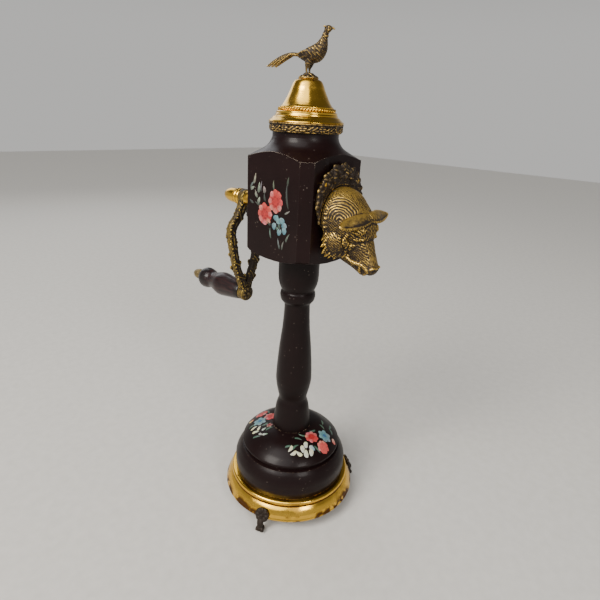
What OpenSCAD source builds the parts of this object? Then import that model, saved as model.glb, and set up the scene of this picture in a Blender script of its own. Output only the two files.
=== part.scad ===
// A table-top street pump in turned wood and brass, made as a bar piece. A hand bell with a
// pheasant lifts off the top, the crank is a corkscrew that pulls out of the back, and the
// animal's head is a bottle opener that pulls out of the front. The stand rests on three feet.
// +Z is up, -Y is the front with the head, +Y the back with the crank. The origin is on the
// table, on the axis of the turned column.

/* [Dish and feet] */
// Height of the rim above the table
dish_lift = 8; // [7:0.5:14]
// Height of the dish from its rim to its flat top
dish_h = 11.5; // [9:0.5:18]
// Thickness of the brass sheet
dish_wall = 0.8; // [0.5:0.1:1.4]
// Ledge of brass that shows round the base block
dish_ledge = 2.4; // [1.5:0.1:3.5]
// How far the rolled rim stands out past the ledge
dish_flare = 3.6; // [2.5:0.1:7]
// How far the toes reach past the rim
toe_reach = 4.8; // [3.6:0.2:8]
// Radius of the rosette at the top of a foot
rosette_r = 4.5; // [3.5:0.1:6]
// Width of a toe
toe_w = 5.4; // [4:0.2:7]
// Turn of the three feet about the column, from the front
foot_turn = -5; // [-60:1:60]
// Angle from the middle of the front to each front foot
foot_spread = 64; // [50:1:75]

/* [Turned base] */
// Largest radius of the base block
base_r = 35.2; // [28:0.2:46]
// Height of the lower roll of the base block
base_roll_h = 17.6; // [14:0.2:24]
// Depth of the groove above the roll, from the largest radius
base_groove_in = 5.6; // [4.8:0.1:8]
// How far the domed upper tier stands back from the largest radius
base_tier_in = 4.6; // [3:0.1:6]
// Whole height of the base block
base_h = 30.5; // [27:0.5:40]

/* [Column] */
// Length of the column between the base block and the head block
column_len = 112.5; // [95:0.5:150]
// Radius of the column's flared foot
column_foot_r = 11.9; // [10:0.1:14]
// Radius of the waist above the foot
column_waist_r = 8.7; // [7.5:0.1:10]
// Radius of the belly
column_belly_r = 10.85; // [9:0.05:13]
// Radius of the slim neck under the bead
column_neck_r = 7.4; // [6.5:0.1:9]
// Radius of the bead
column_bead_r = 10.1; // [8:0.1:12]
// Radius of the plain cap under the head block
column_cap_r = 11.45; // [9:0.05:14]
// Radius of the tenon at each end
tenon_r = 6; // [4.5:0.1:6.3]
// Length of each tenon
tenon_len = 13.5; // [10:0.5:14]

/* [Head block] */
// Width of the square head block across its flats
block_w = 45.5; // [41:0.5:58]
// Height of the corners of the block
block_h = 50.5; // [48:0.5:64]
// How much the lathe takes off each sharp corner
corner_cut = 3.17; // [1.5:0.01:5]
// Radius of the round neck on top
neck_r = 16.8; // [15:0.1:20.2]
// Height of the neck above the corners
neck_h = 12; // [10:0.5:16]

/* [Bell] */
// How far the gallery band's rim stands out past the neck
gallery_out = 2.1; // [1.5:0.1:4]
// Height of the gallery band
gallery_h = 4.6; // [3.6:0.1:7]
// Height of the bell from its lip to its crown
bell_h = 20; // [18:0.5:28]
// Radius of the bell's shoulder under the crown
bell_shoulder_r = 7.9; // [7:0.1:10]
// Thickness of the bell's wall
bell_wall = 1.1; // [0.8:0.1:1.5]
// Radius of the clapper's ball
clapper_r = 3; // [2:0.1:3.5]
// Way the pheasant faces, from the front
pheasant_turn = 22; // [0:1:359]

/* [Crank] */
// Wood between the column's tenon and the ferrule
crank_web = 3.15; // [2:0.05:5]
// Gap between the block's back and the crank arm
crank_standoff = 20.2; // [14:0.2:28]
// Distance from the crank's axis to the grip's axis
crank_throw = 60.5; // [48:0.5:75]
// Half the width of the open loop
loop_half_w = 13.6; // [11:0.1:18]
// Thickness of the loop
loop_t = 5; // [4:0.1:7]
// Radius of the hub and of the grip's boss
hub_r = 4.9; // [4.5:0.1:7]
// Radius of the steel shank
shank_r = 2.4; // [1.8:0.1:2.8]
// Outer radius of the corkscrew's worm
worm_r = 4.5; // [3.8:0.1:5.4]
// Thickness of the worm's wire
worm_wire = 2.5; // [2:0.1:3]
// Rise of the worm in one turn
worm_pitch = 8.5; // [7:0.5:11]
// Gap between the worm and the ferrule
worm_air = 1.1; // [0.6:0.1:2]
// Length of the wooden grip
grip_len = 41.5; // [34:0.5:52]
// Largest radius of the grip
grip_r = 7.7; // [6.5:0.1:9]
// Radius of the grip's pin
pin_r = 1.5; // [1.2:0.1:2]

/* [Opener and wreath] */
// Wood between the ferrule and the opener's socket
opener_web = 4.5; // [3:0.1:6]
// Width of the opener's blade
blade_w = 13; // [11:0.5:15]
// Thickness of the opener's blade
blade_t = 2.5; // [2:0.1:3]
// How far the blade's end stops short of the block's back
blade_short = 9.5; // [6:0.5:14]
// Radius of the oak wreath plate
wreath_r = 17.6; // [16:0.2:19]
// Thickness of the wreath plate
wreath_t = 2.5; // [1.8:0.1:3.5]
// How far the snout stands in front of the wreath
snout_reach = 25.8; // [22:0.2:32]

/* [Clearances] */
// Radial clearance of every shaft in its bore, and of every pin and screw
fit = 0.05; // [0.03:0.01:0.1]
// Gap between pieces that move past each other
air = 0.3; // [0.2:0.05:0.5]

/* [Hidden] */

WOOD = [0.12, 0.05, 0.05];
BRASS = [0.85, 0.65, 0.25];
OLD_BRASS = [0.6, 0.45, 0.15];
STEEL = [0.7, 0.7, 0.72];

ferrule_wall = 0.9;
socket_wall = 0.6;

ledge_r = base_r + dish_ledge;
dish_r = ledge_r + dish_flare;
base_groove_r = base_r - base_groove_in;
base_tier_r = base_r - base_tier_in;
gallery_r = neck_r + gallery_out;
ferrule_r = worm_r + worm_air;
ferrule_out = ferrule_r + ferrule_wall;
dish_top = dish_lift + dish_h;
base_top = dish_top + base_h;
block_z = base_top + column_len;
corner_z = block_z + block_h;
neck_z = corner_z + neck_h;
gallery_top = neck_z + gallery_h;
bell_top = gallery_top + bell_h;
flat = block_w / 2;
corner_r = flat * sqrt(2) - corner_cut;
blade_len = block_w - blade_short;
crank_z = block_z + tenon_len + air + crank_web + ferrule_out + fit;
grip_z = crank_z - crank_throw;
opener_z = crank_z + ferrule_out + 3 * fit + opener_web + socket_wall + blade_t / 2;

function mix(a, b, t) = a + (b - a) * t;

// Smooth curve through a few points, with "steps" short straight pieces between each two
function curve(p, steps = 4) = [
  for (i = [0 : len(p) - 2])
    let (a = p[max(i - 1, 0)], b = p[i], c = p[i + 1], d = p[min(i + 2, len(p) - 1)])
    for (k = [0 : steps - 1])
      let (t = k / steps)
      0.5 * (2 * b + (c - a) * t + (2 * a - 5 * b + 4 * c - d) * t * t
             + (3 * b - 3 * c + d - a) * t * t * t),
  p[len(p) - 1]];

function arc(x, z, r, from, to, steps = 6) = [
  for (k = [0 : steps]) let (t = mix(from, to, k / steps)) [x + r * cos(t), z + r * sin(t)]];

function backwards(p) = [for (i = [len(p) - 1 : -1 : 0]) p[i]];
function moved(p, by) = [for (q = p) q + by];

module turned(profile) {
  rotate_extrude($fn = 96) polygon(profile);
}

// Places a piece drawn along +Z so that its +Z points along +Y, from "y" at height "z"
module along_y(y, z) {
  translate([0, y, z]) rotate([-90, 0, 0]) children();
}

// ---- dish and feet ----

lip_r = 0.9;
roll_r = 1.5;
screw_r = 2;
rivet_r = 1.2;
plate_tilt = 18;
plate_at = dish_r + fit;
foot_angles = [foot_turn - foot_spread, foot_turn + foot_spread, foot_turn + 180];

function lip_outline() = arc(dish_r - lip_r, dish_lift + lip_r, lip_r, 40, -200, 12);
function skirt_outline() = concat(
  curve([[dish_r - 0.5, dish_lift + 1.9],
         [mix(dish_r, ledge_r, 0.25), dish_lift + dish_h * 0.32],
         [mix(dish_r, ledge_r, 0.65), dish_lift + dish_h * 0.54],
         [ledge_r - 0.4, dish_top - 2 * roll_r - 0.3]]),
  arc(ledge_r - roll_r, dish_top - roll_r, roll_r, -35, 90));

// Places a piece on the skirt at each foot, its +Z pointing out of the skirt
module on_skirt(angles) {
  for (a = angles)
    rotate([0, 0, a]) translate([0, -plate_at, dish_lift + lip_r]) rotate([90 - plate_tilt, 0, 0])
      translate([0, 1.8, 0]) children();
}

module base_dish() {
  skin = skirt_outline();
  color(BRASS) difference() {
    turned(concat([[screw_r + fit, dish_top - dish_wall], [screw_r + fit, dish_top]],
                  backwards(skin), lip_outline(),
                  moved([for (i = [3 : len(skin) - 1]) skin[i]], [-dish_wall, -dish_wall])));
    on_skirt(foot_angles) translate([0, 0, -3]) cylinder(r = rivet_r + fit, h = 4, $fn = 32);
  }
}

rivet_depth = 1.7;

// A cast foot, drawn towards the front: a rosette against the skirt, a thin curved leg and a
// round toe. Its plan is the same for all three.
module foot() {
  toe_at = dish_r + toe_reach;
  toe_r = toe_w / 2;
  leg_w = toe_w * 0.8;
  color(OLD_BRASS) difference() {
    union() {
      on_skirt([0]) turned([[0, 0], [rosette_r - 0.3, 0], [rosette_r, 0.5], [rosette_r - 0.4, 1.3],
                            [rosette_r * 0.6, 1.6], [rosette_r * 0.45, 2.4], [0, 2.6]]);
      translate([-leg_w / 2, 0, 0]) rotate([90, 0, 90]) linear_extrude(leg_w)
        polygon(concat(
          curve([[-plate_at - 0.2, dish_lift + 0.8], [-plate_at - 0.5, dish_lift * 0.55],
                 [-plate_at - 0.3, 1.5], [-plate_at - 0.9, 0.3]]),
          curve([[-toe_at + toe_r * 0.6, 0.3], [-toe_at + 0.4, toe_r], [-toe_at + 1.2, dish_lift * 0.55],
                 [-plate_at - 2, dish_lift * 0.8], [-plate_at - 1.6, dish_lift + 1.4]])));
      intersection() {
        translate([0, toe_r - toe_at, toe_r - 0.3]) sphere(r = toe_r, $fn = 32);
        translate([-toe_w, -toe_at - 1, 0]) cube([2 * toe_w, toe_w + 2, toe_w]);
      }
    }
    on_skirt([0]) translate([0, 0, -1]) cylinder(r = rivet_r + fit, h = rivet_depth + 1, $fn = 32);
  }
}

module foot_left() { rotate([0, 0, foot_angles[0]]) foot(); }
module foot_right() { rotate([0, 0, foot_angles[1]]) foot(); }
module foot_back() { rotate([0, 0, foot_angles[2]]) foot(); }

// Rivets that hold the feet, their heads inside the skirt
module foot_rivets() {
  inside = -dish_wall - 1.2;
  color(BRASS) on_skirt(foot_angles)
    turned([[0, inside - 1], [1.5, inside - 0.8], [2.2, inside], [rivet_r, inside],
            [rivet_r, rivet_depth - 0.2], [0, rivet_depth - 0.2]]);
}

screw_head_r = 4;
screw_head_h = 2.4;
washer_r = 7;
washer_t = 1;
screw_len = 26;

module base_washer() {
  color(STEEL) translate([0, 0, dish_top - dish_wall - washer_t]) difference() {
    cylinder(r = washer_r, h = washer_t, $fn = 64);
    translate([0, 0, -1]) cylinder(r = screw_r + fit, h = washer_t + 2, $fn = 32);
  }
}

// The long screw that draws the column, the base block and the dish together
module base_screw() {
  head_top = dish_top - dish_wall - washer_t;
  color(STEEL) difference() {
    translate([0, 0, head_top])
      turned([[0, -screw_head_h], [screw_head_r * 0.6, -screw_head_h],
              [screw_head_r, -screw_head_h * 0.4], [screw_head_r, 0], [screw_r, 0],
              [screw_r, screw_len], [0, screw_len + 3]]);
    translate([-5, -0.5, head_top - screw_head_h - 1]) cube([10, 1, 2]);
  }
}

// ---- turned wood ----

seat_r = column_foot_r + 0.3;

module base_block() {
  roll_top = dish_top + base_roll_h;
  tier_z = roll_top + 3.6;
  color(WOOD) difference() {
    turned(concat(
      [[0, dish_top], [base_r - 0.8, dish_top]],
      curve([[base_r - 0.7, dish_top + 0.2], [base_r - 0.1, dish_top + base_roll_h * 0.2],
             [base_r, dish_top + base_roll_h * 0.38], [base_r - 0.3, dish_top + base_roll_h * 0.6],
             [base_r - 2.2, dish_top + base_roll_h * 0.83], [base_groove_r + 1.6, roll_top - 0.6]]),
      [[base_groove_r, roll_top - 0.2], [base_groove_r, roll_top + 0.9]],
      curve([[base_tier_r - 0.3, roll_top + 1.4], [base_tier_r, roll_top + 2.6],
             [base_tier_r - 0.4, tier_z],
             [mix(base_tier_r, seat_r, 0.2), mix(tier_z, base_top, 0.34)],
             [mix(base_tier_r, seat_r, 0.55), mix(tier_z, base_top, 0.78)],
             [seat_r, base_top]]),
      [[0, base_top]]));
    translate([0, 0, base_top - tenon_len - air]) cylinder(r = tenon_r + fit, h = 40, $fn = 64);
    translate([0, 0, dish_top - 1]) cylinder(r = screw_r + fit, h = base_h, $fn = 32);
  }
}

// One long turning: flared foot, waist, belly, taper, bead, groove, cup and plain cap. The foot
// is measured up from the base block and the cap down from the head block, and the taper
// between them takes up the rest.
module column() {
  belly_z = base_top + 36;
  neck_low = block_z - 31;
  color(WOOD) difference() {
    turned(concat(
      [[0, base_top - tenon_len], [tenon_r, base_top - tenon_len], [tenon_r, base_top]],
      curve([[column_foot_r, base_top], [column_foot_r - 0.5, base_top + 5],
             [mix(column_foot_r, column_waist_r, 0.56), base_top + 14.3],
             [column_waist_r + 0.1, base_top + 18.7], [column_waist_r, base_top + 20.9],
             [mix(column_waist_r, column_belly_r, 0.45), base_top + 25.3],
             [column_belly_r - 0.3, base_top + 30], [column_belly_r, belly_z],
             [mix(column_belly_r, column_neck_r, 0.32), mix(belly_z, neck_low, 0.36)],
             [mix(column_belly_r, column_neck_r, 0.81), mix(belly_z, neck_low, 0.71)],
             [column_neck_r, neck_low], [mix(column_neck_r, column_bead_r, 0.35), block_z - 29],
             [column_bead_r - 0.5, block_z - 27.2], [column_bead_r, block_z - 24.6],
             [column_bead_r - 0.3, block_z - 22.6]]),
      [[column_bead_r - 0.7, block_z - 22], [column_bead_r - 0.7, block_z - 21]],
      curve([[column_bead_r - 0.4, block_z - 20.6], [column_cap_r - 0.8, block_z - 18.2],
             [column_cap_r - 0.2, block_z - 15.6], [column_cap_r, block_z - 12.6]]),
      [[column_cap_r, block_z], [tenon_r, block_z],
       [tenon_r, block_z + tenon_len], [0, block_z + tenon_len]]));
    translate([0, 0, base_top - tenon_len - 1])
      cylinder(r = screw_r + fit, h = screw_len + 8, $fn = 32);
  }
}

ferrule_flange_r = ferrule_out + 2.5;
ferrule_flange_t = 1.2;
ferrule_len = block_w - 3;
gallery_pin_r = 0.9;
gallery_pin_at = neck_r - 3;
gallery_pin_len = 8;
wreath_pin_r = 0.8;
wreath_pin_at = wreath_r - 2.2;
wreath_pin_len = 6;
wreath_pin_angles = [35, 145, 90];
wreath_z = opener_z - 4.5;

module gallery_pin_places() {
  for (a = [30, 150, 270]) rotate([0, 0, a]) translate([gallery_pin_at, 0, 0]) children();
}

// Drawn in the plane of the front face, with z growing into the block
module wreath_pin_places(y) {
  for (a = wreath_pin_angles)
    translate([wreath_pin_at * cos(a), y, wreath_z + wreath_pin_at * sin(a)])
      rotate([-90, 0, 0]) children();
}

module slot_space(grow, y, len) {
  w = blade_w + 2 * grow;
  t = blade_t + 2 * grow;
  translate([-w / 2, y, opener_z - t / 2]) cube([w, len, t]);
}

// The square block, its corners turned to a barrel and its top turned to a coved round neck
module head_block() {
  color(WOOD) difference() {
    intersection() {
      turned(concat(
        [[0, block_z], [corner_r - 6, block_z], [corner_r - 1, block_z + 1.8],
         [corner_r, block_z + 3], [corner_r, corner_z]],
        curve([[corner_r - 0.4, corner_z + 0.1],
               [mix(corner_r, neck_r, 0.52), corner_z + neck_h * 0.27],
               [mix(corner_r, neck_r, 0.78), corner_z + neck_h * 0.44],
               [mix(corner_r, neck_r, 0.93), corner_z + neck_h * 0.64],
               [neck_r, corner_z + neck_h * 0.82]]),
        [[neck_r, neck_z], [0, neck_z]]));
      translate([-flat, -flat, block_z - 1]) cube([block_w, block_w, block_h + neck_h + 2]);
    }
    translate([0, 0, block_z - 1]) cylinder(r = tenon_r + fit, h = tenon_len + 1 + air, $fn = 64);
    along_y(flat - ferrule_len - air, crank_z)
      cylinder(r = ferrule_out + fit, h = block_w, $fn = 64);
    slot_space(fit + socket_wall + fit, -flat - 1, blade_len + 3);
    translate([0, 0, neck_z - gallery_pin_len]) gallery_pin_places()
      cylinder(r = gallery_pin_r + fit, h = gallery_pin_len + 1, $fn = 24);
    wreath_pin_places(-flat - 1) cylinder(r = wreath_pin_r + fit, h = wreath_pin_len + 1, $fn = 24);
  }
}

// ---- bell ----

gallery_floor = 1;
spigot_r = gallery_r - 2.2;
spigot_h = 1.5;
stud_r = 1.5;
crown_r = 4.6;
crown_t = 1.5;
nut_h = 2.4;
stud_len = crown_t + nut_h - 1;

// A cast band of leaves between two plain rims, with a floor that is pinned to the neck
module gallery_band() {
  wall_r = gallery_r - 0.6;
  in_r = spigot_r + air;
  color(OLD_BRASS) difference() {
    turned([[gallery_pin_at - 4, neck_z], [wall_r - 0.4, neck_z], [wall_r, neck_z + 0.7],
            [wall_r - 0.4, neck_z + 1.1], [wall_r - 0.1, gallery_top - 1], [gallery_r, gallery_top - 0.7],
            [gallery_r, gallery_top], [in_r, gallery_top], [in_r, neck_z + gallery_floor],
            [gallery_pin_at - 4, neck_z + gallery_floor]]);
    translate([0, 0, neck_z - 1]) gallery_pin_places()
      cylinder(r = gallery_pin_r + fit, h = 3, $fn = 24);
  }
}

module gallery_pins() {
  color(BRASS) translate([0, 0, neck_z]) gallery_pin_places()
    turned([[0, 0.5 - gallery_pin_len], [gallery_pin_r, 2 - gallery_pin_len],
            [gallery_pin_r, gallery_floor], [1.7, gallery_floor], [1.2, gallery_floor + 0.7],
            [0, gallery_floor + 0.9]]);
}

function bell_outline() = curve([
  [gallery_r - 0.1, gallery_top + 0.7],
  [mix(gallery_r, bell_shoulder_r, 0.23), gallery_top + bell_h * 0.13],
  [mix(gallery_r, bell_shoulder_r, 0.38), gallery_top + bell_h * 0.25],
  [mix(gallery_r, bell_shoulder_r, 0.55), gallery_top + bell_h * 0.37],
  [mix(gallery_r, bell_shoulder_r, 0.71), gallery_top + bell_h * 0.5],
  [mix(gallery_r, bell_shoulder_r, 0.91), gallery_top + bell_h * 0.72],
  [bell_shoulder_r, gallery_top + bell_h * 0.84],
  [mix(bell_shoulder_r, crown_r, 0.38), gallery_top + bell_h * 0.95],
  [crown_r, bell_top]]);

// A cast bell: flat lip and spigot in the gallery, flared wall, flat crown with the stud's hole
module bell() {
  skin = bell_outline();
  color(BRASS)
    turned(concat([[stud_r + fit, bell_top - crown_t], [stud_r + fit, bell_top]],
                  backwards(skin),
                  [[gallery_r, gallery_top + 0.3], [gallery_r - 0.3, gallery_top],
                   [spigot_r, gallery_top], [spigot_r, gallery_top - spigot_h],
                   [spigot_r - bell_wall, gallery_top - spigot_h]],
                  moved([for (i = [4 : len(skin) - 6]) skin[i]], [-bell_wall, -0.35]),
                  [[crown_r, bell_top - crown_t]]));
}

// The pheasant, drawn facing the front: mound, legs, body, neck, head, beak and long tail, with
// a stud below the mound that passes through the bell's crown
module pheasant() {
  mound_h = 2.6;
  leg_gap = 2.1;
  feet_z = bell_top + mound_h;
  color(OLD_BRASS) rotate([0, 0, pheasant_turn]) {
    turned([[0, bell_top - stud_len], [stud_r, bell_top - stud_len], [stud_r, bell_top],
            [crown_r + 0.3, bell_top], [crown_r + 0.3, bell_top + 0.6], [3.2, bell_top + 1.4],
            [2.4, feet_z], [0, feet_z + 0.3]]);
    for (side = [-1, 1])
      translate([side * leg_gap, 0.5, feet_z - 1.5]) cylinder(r = 0.9, h = 6, $fn = 24);
    hull() {
      translate([0, -4.6, feet_z + 9]) sphere(r = 4.4, $fn = 28);
      translate([0, 0.2, feet_z + 7]) sphere(r = 3.9, $fn = 28);
      translate([0, 4.4, feet_z + 6.6]) sphere(r = 2, $fn = 28);
    }
    hull() {
      translate([0, -5.8, feet_z + 12]) sphere(r = 2.6, $fn = 24);
      translate([0, -7.6, feet_z + 17.6]) sphere(r = 1.7, $fn = 24);
    }
    hull() {
      translate([0, -8, feet_z + 18.1]) sphere(r = 2.1, $fn = 24);
      translate([0, -9, feet_z + 18.2]) sphere(r = 1.6, $fn = 24);
    }
    translate([0, -9.4, feet_z + 18.3]) rotate([100, 0, 0]) cylinder(r1 = 1.3, r2 = 0.2, h = 2.6);
    hull() {
      translate([0, 3.4, feet_z + 6.8]) sphere(r = 1.7, $fn = 20);
      translate([0, 13.4, feet_z + 5.9]) sphere(r = 1.1, $fn = 20);
    }
    hull() {
      translate([0, 13.4, feet_z + 5.9]) sphere(r = 1.1, $fn = 20);
      translate([0, 22, feet_z + 2.2]) sphere(r = 0.5, $fn = 20);
    }
  }
}

eye_t = 1.6;
eye_out = 2.3;
eye_in = 1.1;
hook_r = 0.55;
rod_r = 0.8;
pivot_z = bell_top - crown_t - nut_h - 2.6;
eye_z = pivot_z + eye_in - hook_r - fit;
clapper_drop = pivot_z - clapper_r - gallery_top + spigot_h;

// A nut on the stud inside the bell, with a ring under it that carries the clapper's hook
module bell_eye() {
  nut_low = bell_top - crown_t - nut_h;
  color(BRASS) {
    difference() {
      translate([0, 0, nut_low]) cylinder(r = 3.2, h = nut_h, $fn = 48);
      translate([0, 0, bell_top - stud_len - fit]) cylinder(r = stud_r + fit, h = 5, $fn = 32);
    }
    difference() {
      translate([-eye_t / 2, 0, eye_z]) rotate([0, 90, 0])
        cylinder(r = eye_out, h = eye_t, $fn = 48);
      translate([-eye_t, 0, eye_z]) rotate([0, 90, 0])
        cylinder(r = eye_in, h = 2 * eye_t, $fn = 48);
    }
  }
}

// A wire fork whose cross pin hangs in the eye
module clapper_rod() {
  reach = eye_t / 2 + air + 0.75;
  color(BRASS) {
    translate([-reach, 0, pivot_z]) rotate([0, 90, 0]) cylinder(r = hook_r, h = 2 * reach, $fn = 24);
    for (side = [-1, 1])
      translate([side * reach, 0, pivot_z - 3.4]) cylinder(r = hook_r, h = 3.4 + hook_r, $fn = 24);
    translate([-reach - hook_r, -hook_r, pivot_z - 4]) cube([2 * (reach + hook_r), 2 * hook_r, 1.1]);
    translate([0, 0, pivot_z - clapper_drop + clapper_r * 0.4])
      cylinder(r = rod_r, h = clapper_drop - clapper_r * 0.4 - 3.2, $fn = 24);
  }
}

module clapper_ball() {
  color(BRASS) difference() {
    translate([0, 0, pivot_z - clapper_drop]) sphere(r = clapper_r, $fn = 48);
    translate([0, 0, pivot_z - clapper_drop + clapper_r * 0.4 - fit])
      cylinder(r = rod_r + fit, h = clapper_r, $fn = 24);
  }
}

// ---- crank and corkscrew ----

spigot_len = 8;
arm_y = flat + crank_standoff;
arm_back = arm_y + loop_t;
sleeve_y = flat + ferrule_flange_t;

module crank_ferrule() {
  color(BRASS) along_y(flat - ferrule_len, crank_z) difference() {
    turned([[0, 0], [ferrule_out, 0], [ferrule_out, ferrule_len],
            [ferrule_flange_r, ferrule_len], [ferrule_flange_r, ferrule_len + 0.7],
            [ferrule_flange_r - 0.5, ferrule_len + ferrule_flange_t],
            [0, ferrule_len + ferrule_flange_t]]);
    translate([0, 0, 1]) cylinder(r = ferrule_r, h = block_w, $fn = 64);
  }
}

// A turned bush that plugs the ferrule and carries the shank
module crank_sleeve() {
  len = crank_standoff - ferrule_flange_t - air;
  color(BRASS) along_y(sleeve_y, crank_z) difference() {
    turned(concat(
      [[0, -spigot_len], [ferrule_r - fit, -spigot_len], [ferrule_r - fit, 0],
       [ferrule_flange_r - 1.4, 0], [ferrule_flange_r - 1, 0.8], [ferrule_flange_r - 1.6, 1.8]],
      curve([[shank_r + 2.6, 2.4], [shank_r + 1.7, len * 0.35], [shank_r + 1.5, len * 0.7],
             [shank_r + 2, len - 1.6]]),
      [[shank_r + 2.1, len], [0, len]]));
    translate([0, 0, -spigot_len - 1]) cylinder(r = shank_r + fit, h = 60, $fn = 48);
  }
}

// Outline of the loop's edge, as shares of its half width and of the crank's throw
LOOP_OUT = [[0.27, 0.03], [0.55, 0.165], [0.93, 0.262], [1, 0.35], [0.84, 0.51], [0.69, 0.7],
            [0.44, 0.83], [0.27, 0.95]];
LOOP_IN = [[0, 0.13], [0.18, 0.17], [0.5, 0.262], [0.62, 0.35], [0.5, 0.51], [0.33, 0.69],
           [0.19, 0.75], [0, 0.785]];

function loop_points(shares) = [for (q = curve(shares)) [q[0] * loop_half_w, -q[1] * crank_throw]];
function both_sides(p) = concat(p, [for (q = backwards(p)) [-q[0], q[1]]]);

// The cast open loop, with a hub for the shank at the top and a boss for the pin at the bottom
module crank_arm() {
  color(OLD_BRASS) translate([0, arm_back, crank_z]) rotate([90, 0, 0]) difference() {
    union() {
      linear_extrude(loop_t - 0.6) polygon(both_sides(loop_points(LOOP_OUT)));
      cylinder(r = hub_r, h = loop_t, $fn = 64);
      translate([0, -crank_throw, 0]) cylinder(r = hub_r, h = loop_t, $fn = 64);
    }
    translate([0, 0, -1]) linear_extrude(loop_t + 2) polygon(both_sides(loop_points(LOOP_IN)));
    translate([0, 0, -1]) cylinder(r = shank_r + fit, h = loop_t + 2, $fn = 48);
    translate([0, -crank_throw, -1]) cylinder(r = pin_r + fit, h = loop_t + 2, $fn = 32);
  }
}

worm_top = flat - 7.5;
worm_low = flat - ferrule_len + 2.2;
worm_mid_r = worm_r - worm_wire / 2;
WORM_SIDES = 8;
WORM_STEPS = 16;

// Place of the middle of the wire at a share "t" of the worm, from its top to its point. The
// wire leaves the shank's axis in the first quarter turn.
function worm_at(t) =
  let (turns = (worm_top - worm_low) / worm_pitch, a = 360 * turns * t,
       r = worm_mid_r * min(1, t * turns * 3 + 0.05))
  [r * cos(a), r * sin(a), mix(worm_top, worm_low, t)];

module worm() {
  turns = (worm_top - worm_low) / worm_pitch;
  rings = ceil(turns * WORM_STEPS);
  function thick(t) = worm_wire / 2 * min(1, (1 - t) * 6 + 0.12);
  points = [for (i = [0 : rings])
    let (t = i / rings, p = worm_at(t), q = worm_at(t + 0.001), w = q - p, along = w / norm(w),
         side = cross(along, [0, 0, 1]), u = side / norm(side), v = cross(u, along))
    for (k = [0 : WORM_SIDES - 1])
      let (a = 360 * k / WORM_SIDES) p + thick(t) * (cos(a) * u + sin(a) * v)];
  sides = [for (i = [0 : rings - 1]) for (k = [0 : WORM_SIDES - 1])
    let (a = i * WORM_SIDES + k, b = i * WORM_SIDES + (k + 1) % WORM_SIDES)
    [a, b, b + WORM_SIDES, a + WORM_SIDES]];
  polyhedron(points = points, faces = concat(
    [[for (k = [WORM_SIDES - 1 : -1 : 0]) k]], sides,
    [[for (k = [0 : WORM_SIDES - 1]) rings * WORM_SIDES + k]]), convexity = 8);
}

// Length of the knob, its bore and the shank's end in it
cap_len = 15.6;
cap_bore = 8;
cap_pin_r = 2;

// Steel shank and worm in one piece
module corkscrew() {
  color(STEEL) along_y(0, crank_z) {
    turned([[0, worm_top - 0.6], [shank_r - 0.5, worm_top - 0.6], [shank_r, worm_top],
            [shank_r, arm_back], [cap_pin_r, arm_back], [cap_pin_r, arm_back + cap_bore - 0.5],
            [0, arm_back + cap_bore - 0.5]]);
    worm();
  }
}

module crank_cap() {
  color(BRASS) along_y(arm_back, crank_z) difference() {
    turned(concat([[0, 0], [hub_r - 0.3, 0], [hub_r, 0.6], [hub_r, 1.6], [hub_r - 0.8, 2.2]],
                  curve([[hub_r - 0.6, 3], [hub_r - 0.5, cap_len * 0.35],
                         [hub_r * 0.75, cap_len * 0.6], [hub_r * 0.5, cap_len * 0.85],
                         [0, cap_len]])));
    translate([0, 0, -1]) cylinder(r = cap_pin_r + fit, h = cap_bore + 1, $fn = 32);
  }
}

pin_tail = 4;

module grip_pin() {
  color(BRASS) along_y(arm_y, grip_z)
    turned([[0, -0.9], [hub_r - 2, -0.9], [hub_r - 1.2, 0], [pin_r, 0],
            [pin_r, loop_t + air + grip_len + air + pin_tail],
            [0, loop_t + air + grip_len + air + pin_tail]]);
}

module grip() {
  color(WOOD) along_y(arm_back + air, grip_z) difference() {
    turned(concat(
      [[0, 0], [grip_r * 0.62, 0]],
      curve([[grip_r * 0.66, 0.4], [grip_r * 0.76, grip_len * 0.1],
             [grip_r * 0.9, grip_len * 0.28], [grip_r, grip_len * 0.46],
             [grip_r * 0.83, grip_len * 0.6], [grip_r * 0.7, grip_len * 0.7],
             [grip_r * 0.85, grip_len * 0.8], [grip_r * 0.89, grip_len * 0.89],
             [grip_r * 0.68, grip_len * 0.97], [grip_r * 0.5, grip_len]]),
      [[0, grip_len]]));
    translate([0, 0, -1]) cylinder(r = pin_r + fit, h = grip_len + 2, $fn = 32);
  }
}

button_len = 9;

module grip_button() {
  color(BRASS) along_y(arm_back + grip_len + 2 * air, grip_z) difference() {
    turned(concat([[0, 0], [3.4, 0], [3.7, 0.8]],
                  curve([[3.2, 1.6], [3.5, button_len * 0.4], [3, button_len * 0.7],
                         [1.8, button_len * 0.93], [0, button_len]])));
    translate([0, 0, -1]) cylinder(r = pin_r + fit, h = pin_tail + 1 + fit, $fn = 32);
  }
}

// ---- opener, wreath and head ----

plate_y = -flat - wreath_t;
head_y = plate_y - air;
flange_t = 1.5;
flange_h = 15;
flange_w = blade_w + 1;
opener_screw_r = 1.2;
opener_screw_rows = [-4.5, -10.5];
LEAVES = 11;

// A cast wreath of oak leaves and acorns, pinned to the front, with a slot for the blade
module oak_wreath() {
  color(OLD_BRASS) difference() {
    union() {
      along_y(plate_y, wreath_z) cylinder(r = wreath_r - 1.6, h = wreath_t, $fn = 96);
      for (i = [0 : LEAVES - 1])
        let (a = mix(-38, 218, i / (LEAVES - 1)), r = wreath_r - 2)
        translate([r * cos(a), plate_y, wreath_z + r * sin(a)]) rotate([-90, 0, 0])
          cylinder(r = 2.6, h = wreath_t, $fn = 32);
    }
    slot_space(socket_wall + 2 * fit, plate_y - 1, wreath_t + 2);
    wreath_pin_places(plate_y - 1) cylinder(r = wreath_pin_r + fit, h = 5, $fn = 24);
  }
}

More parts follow.
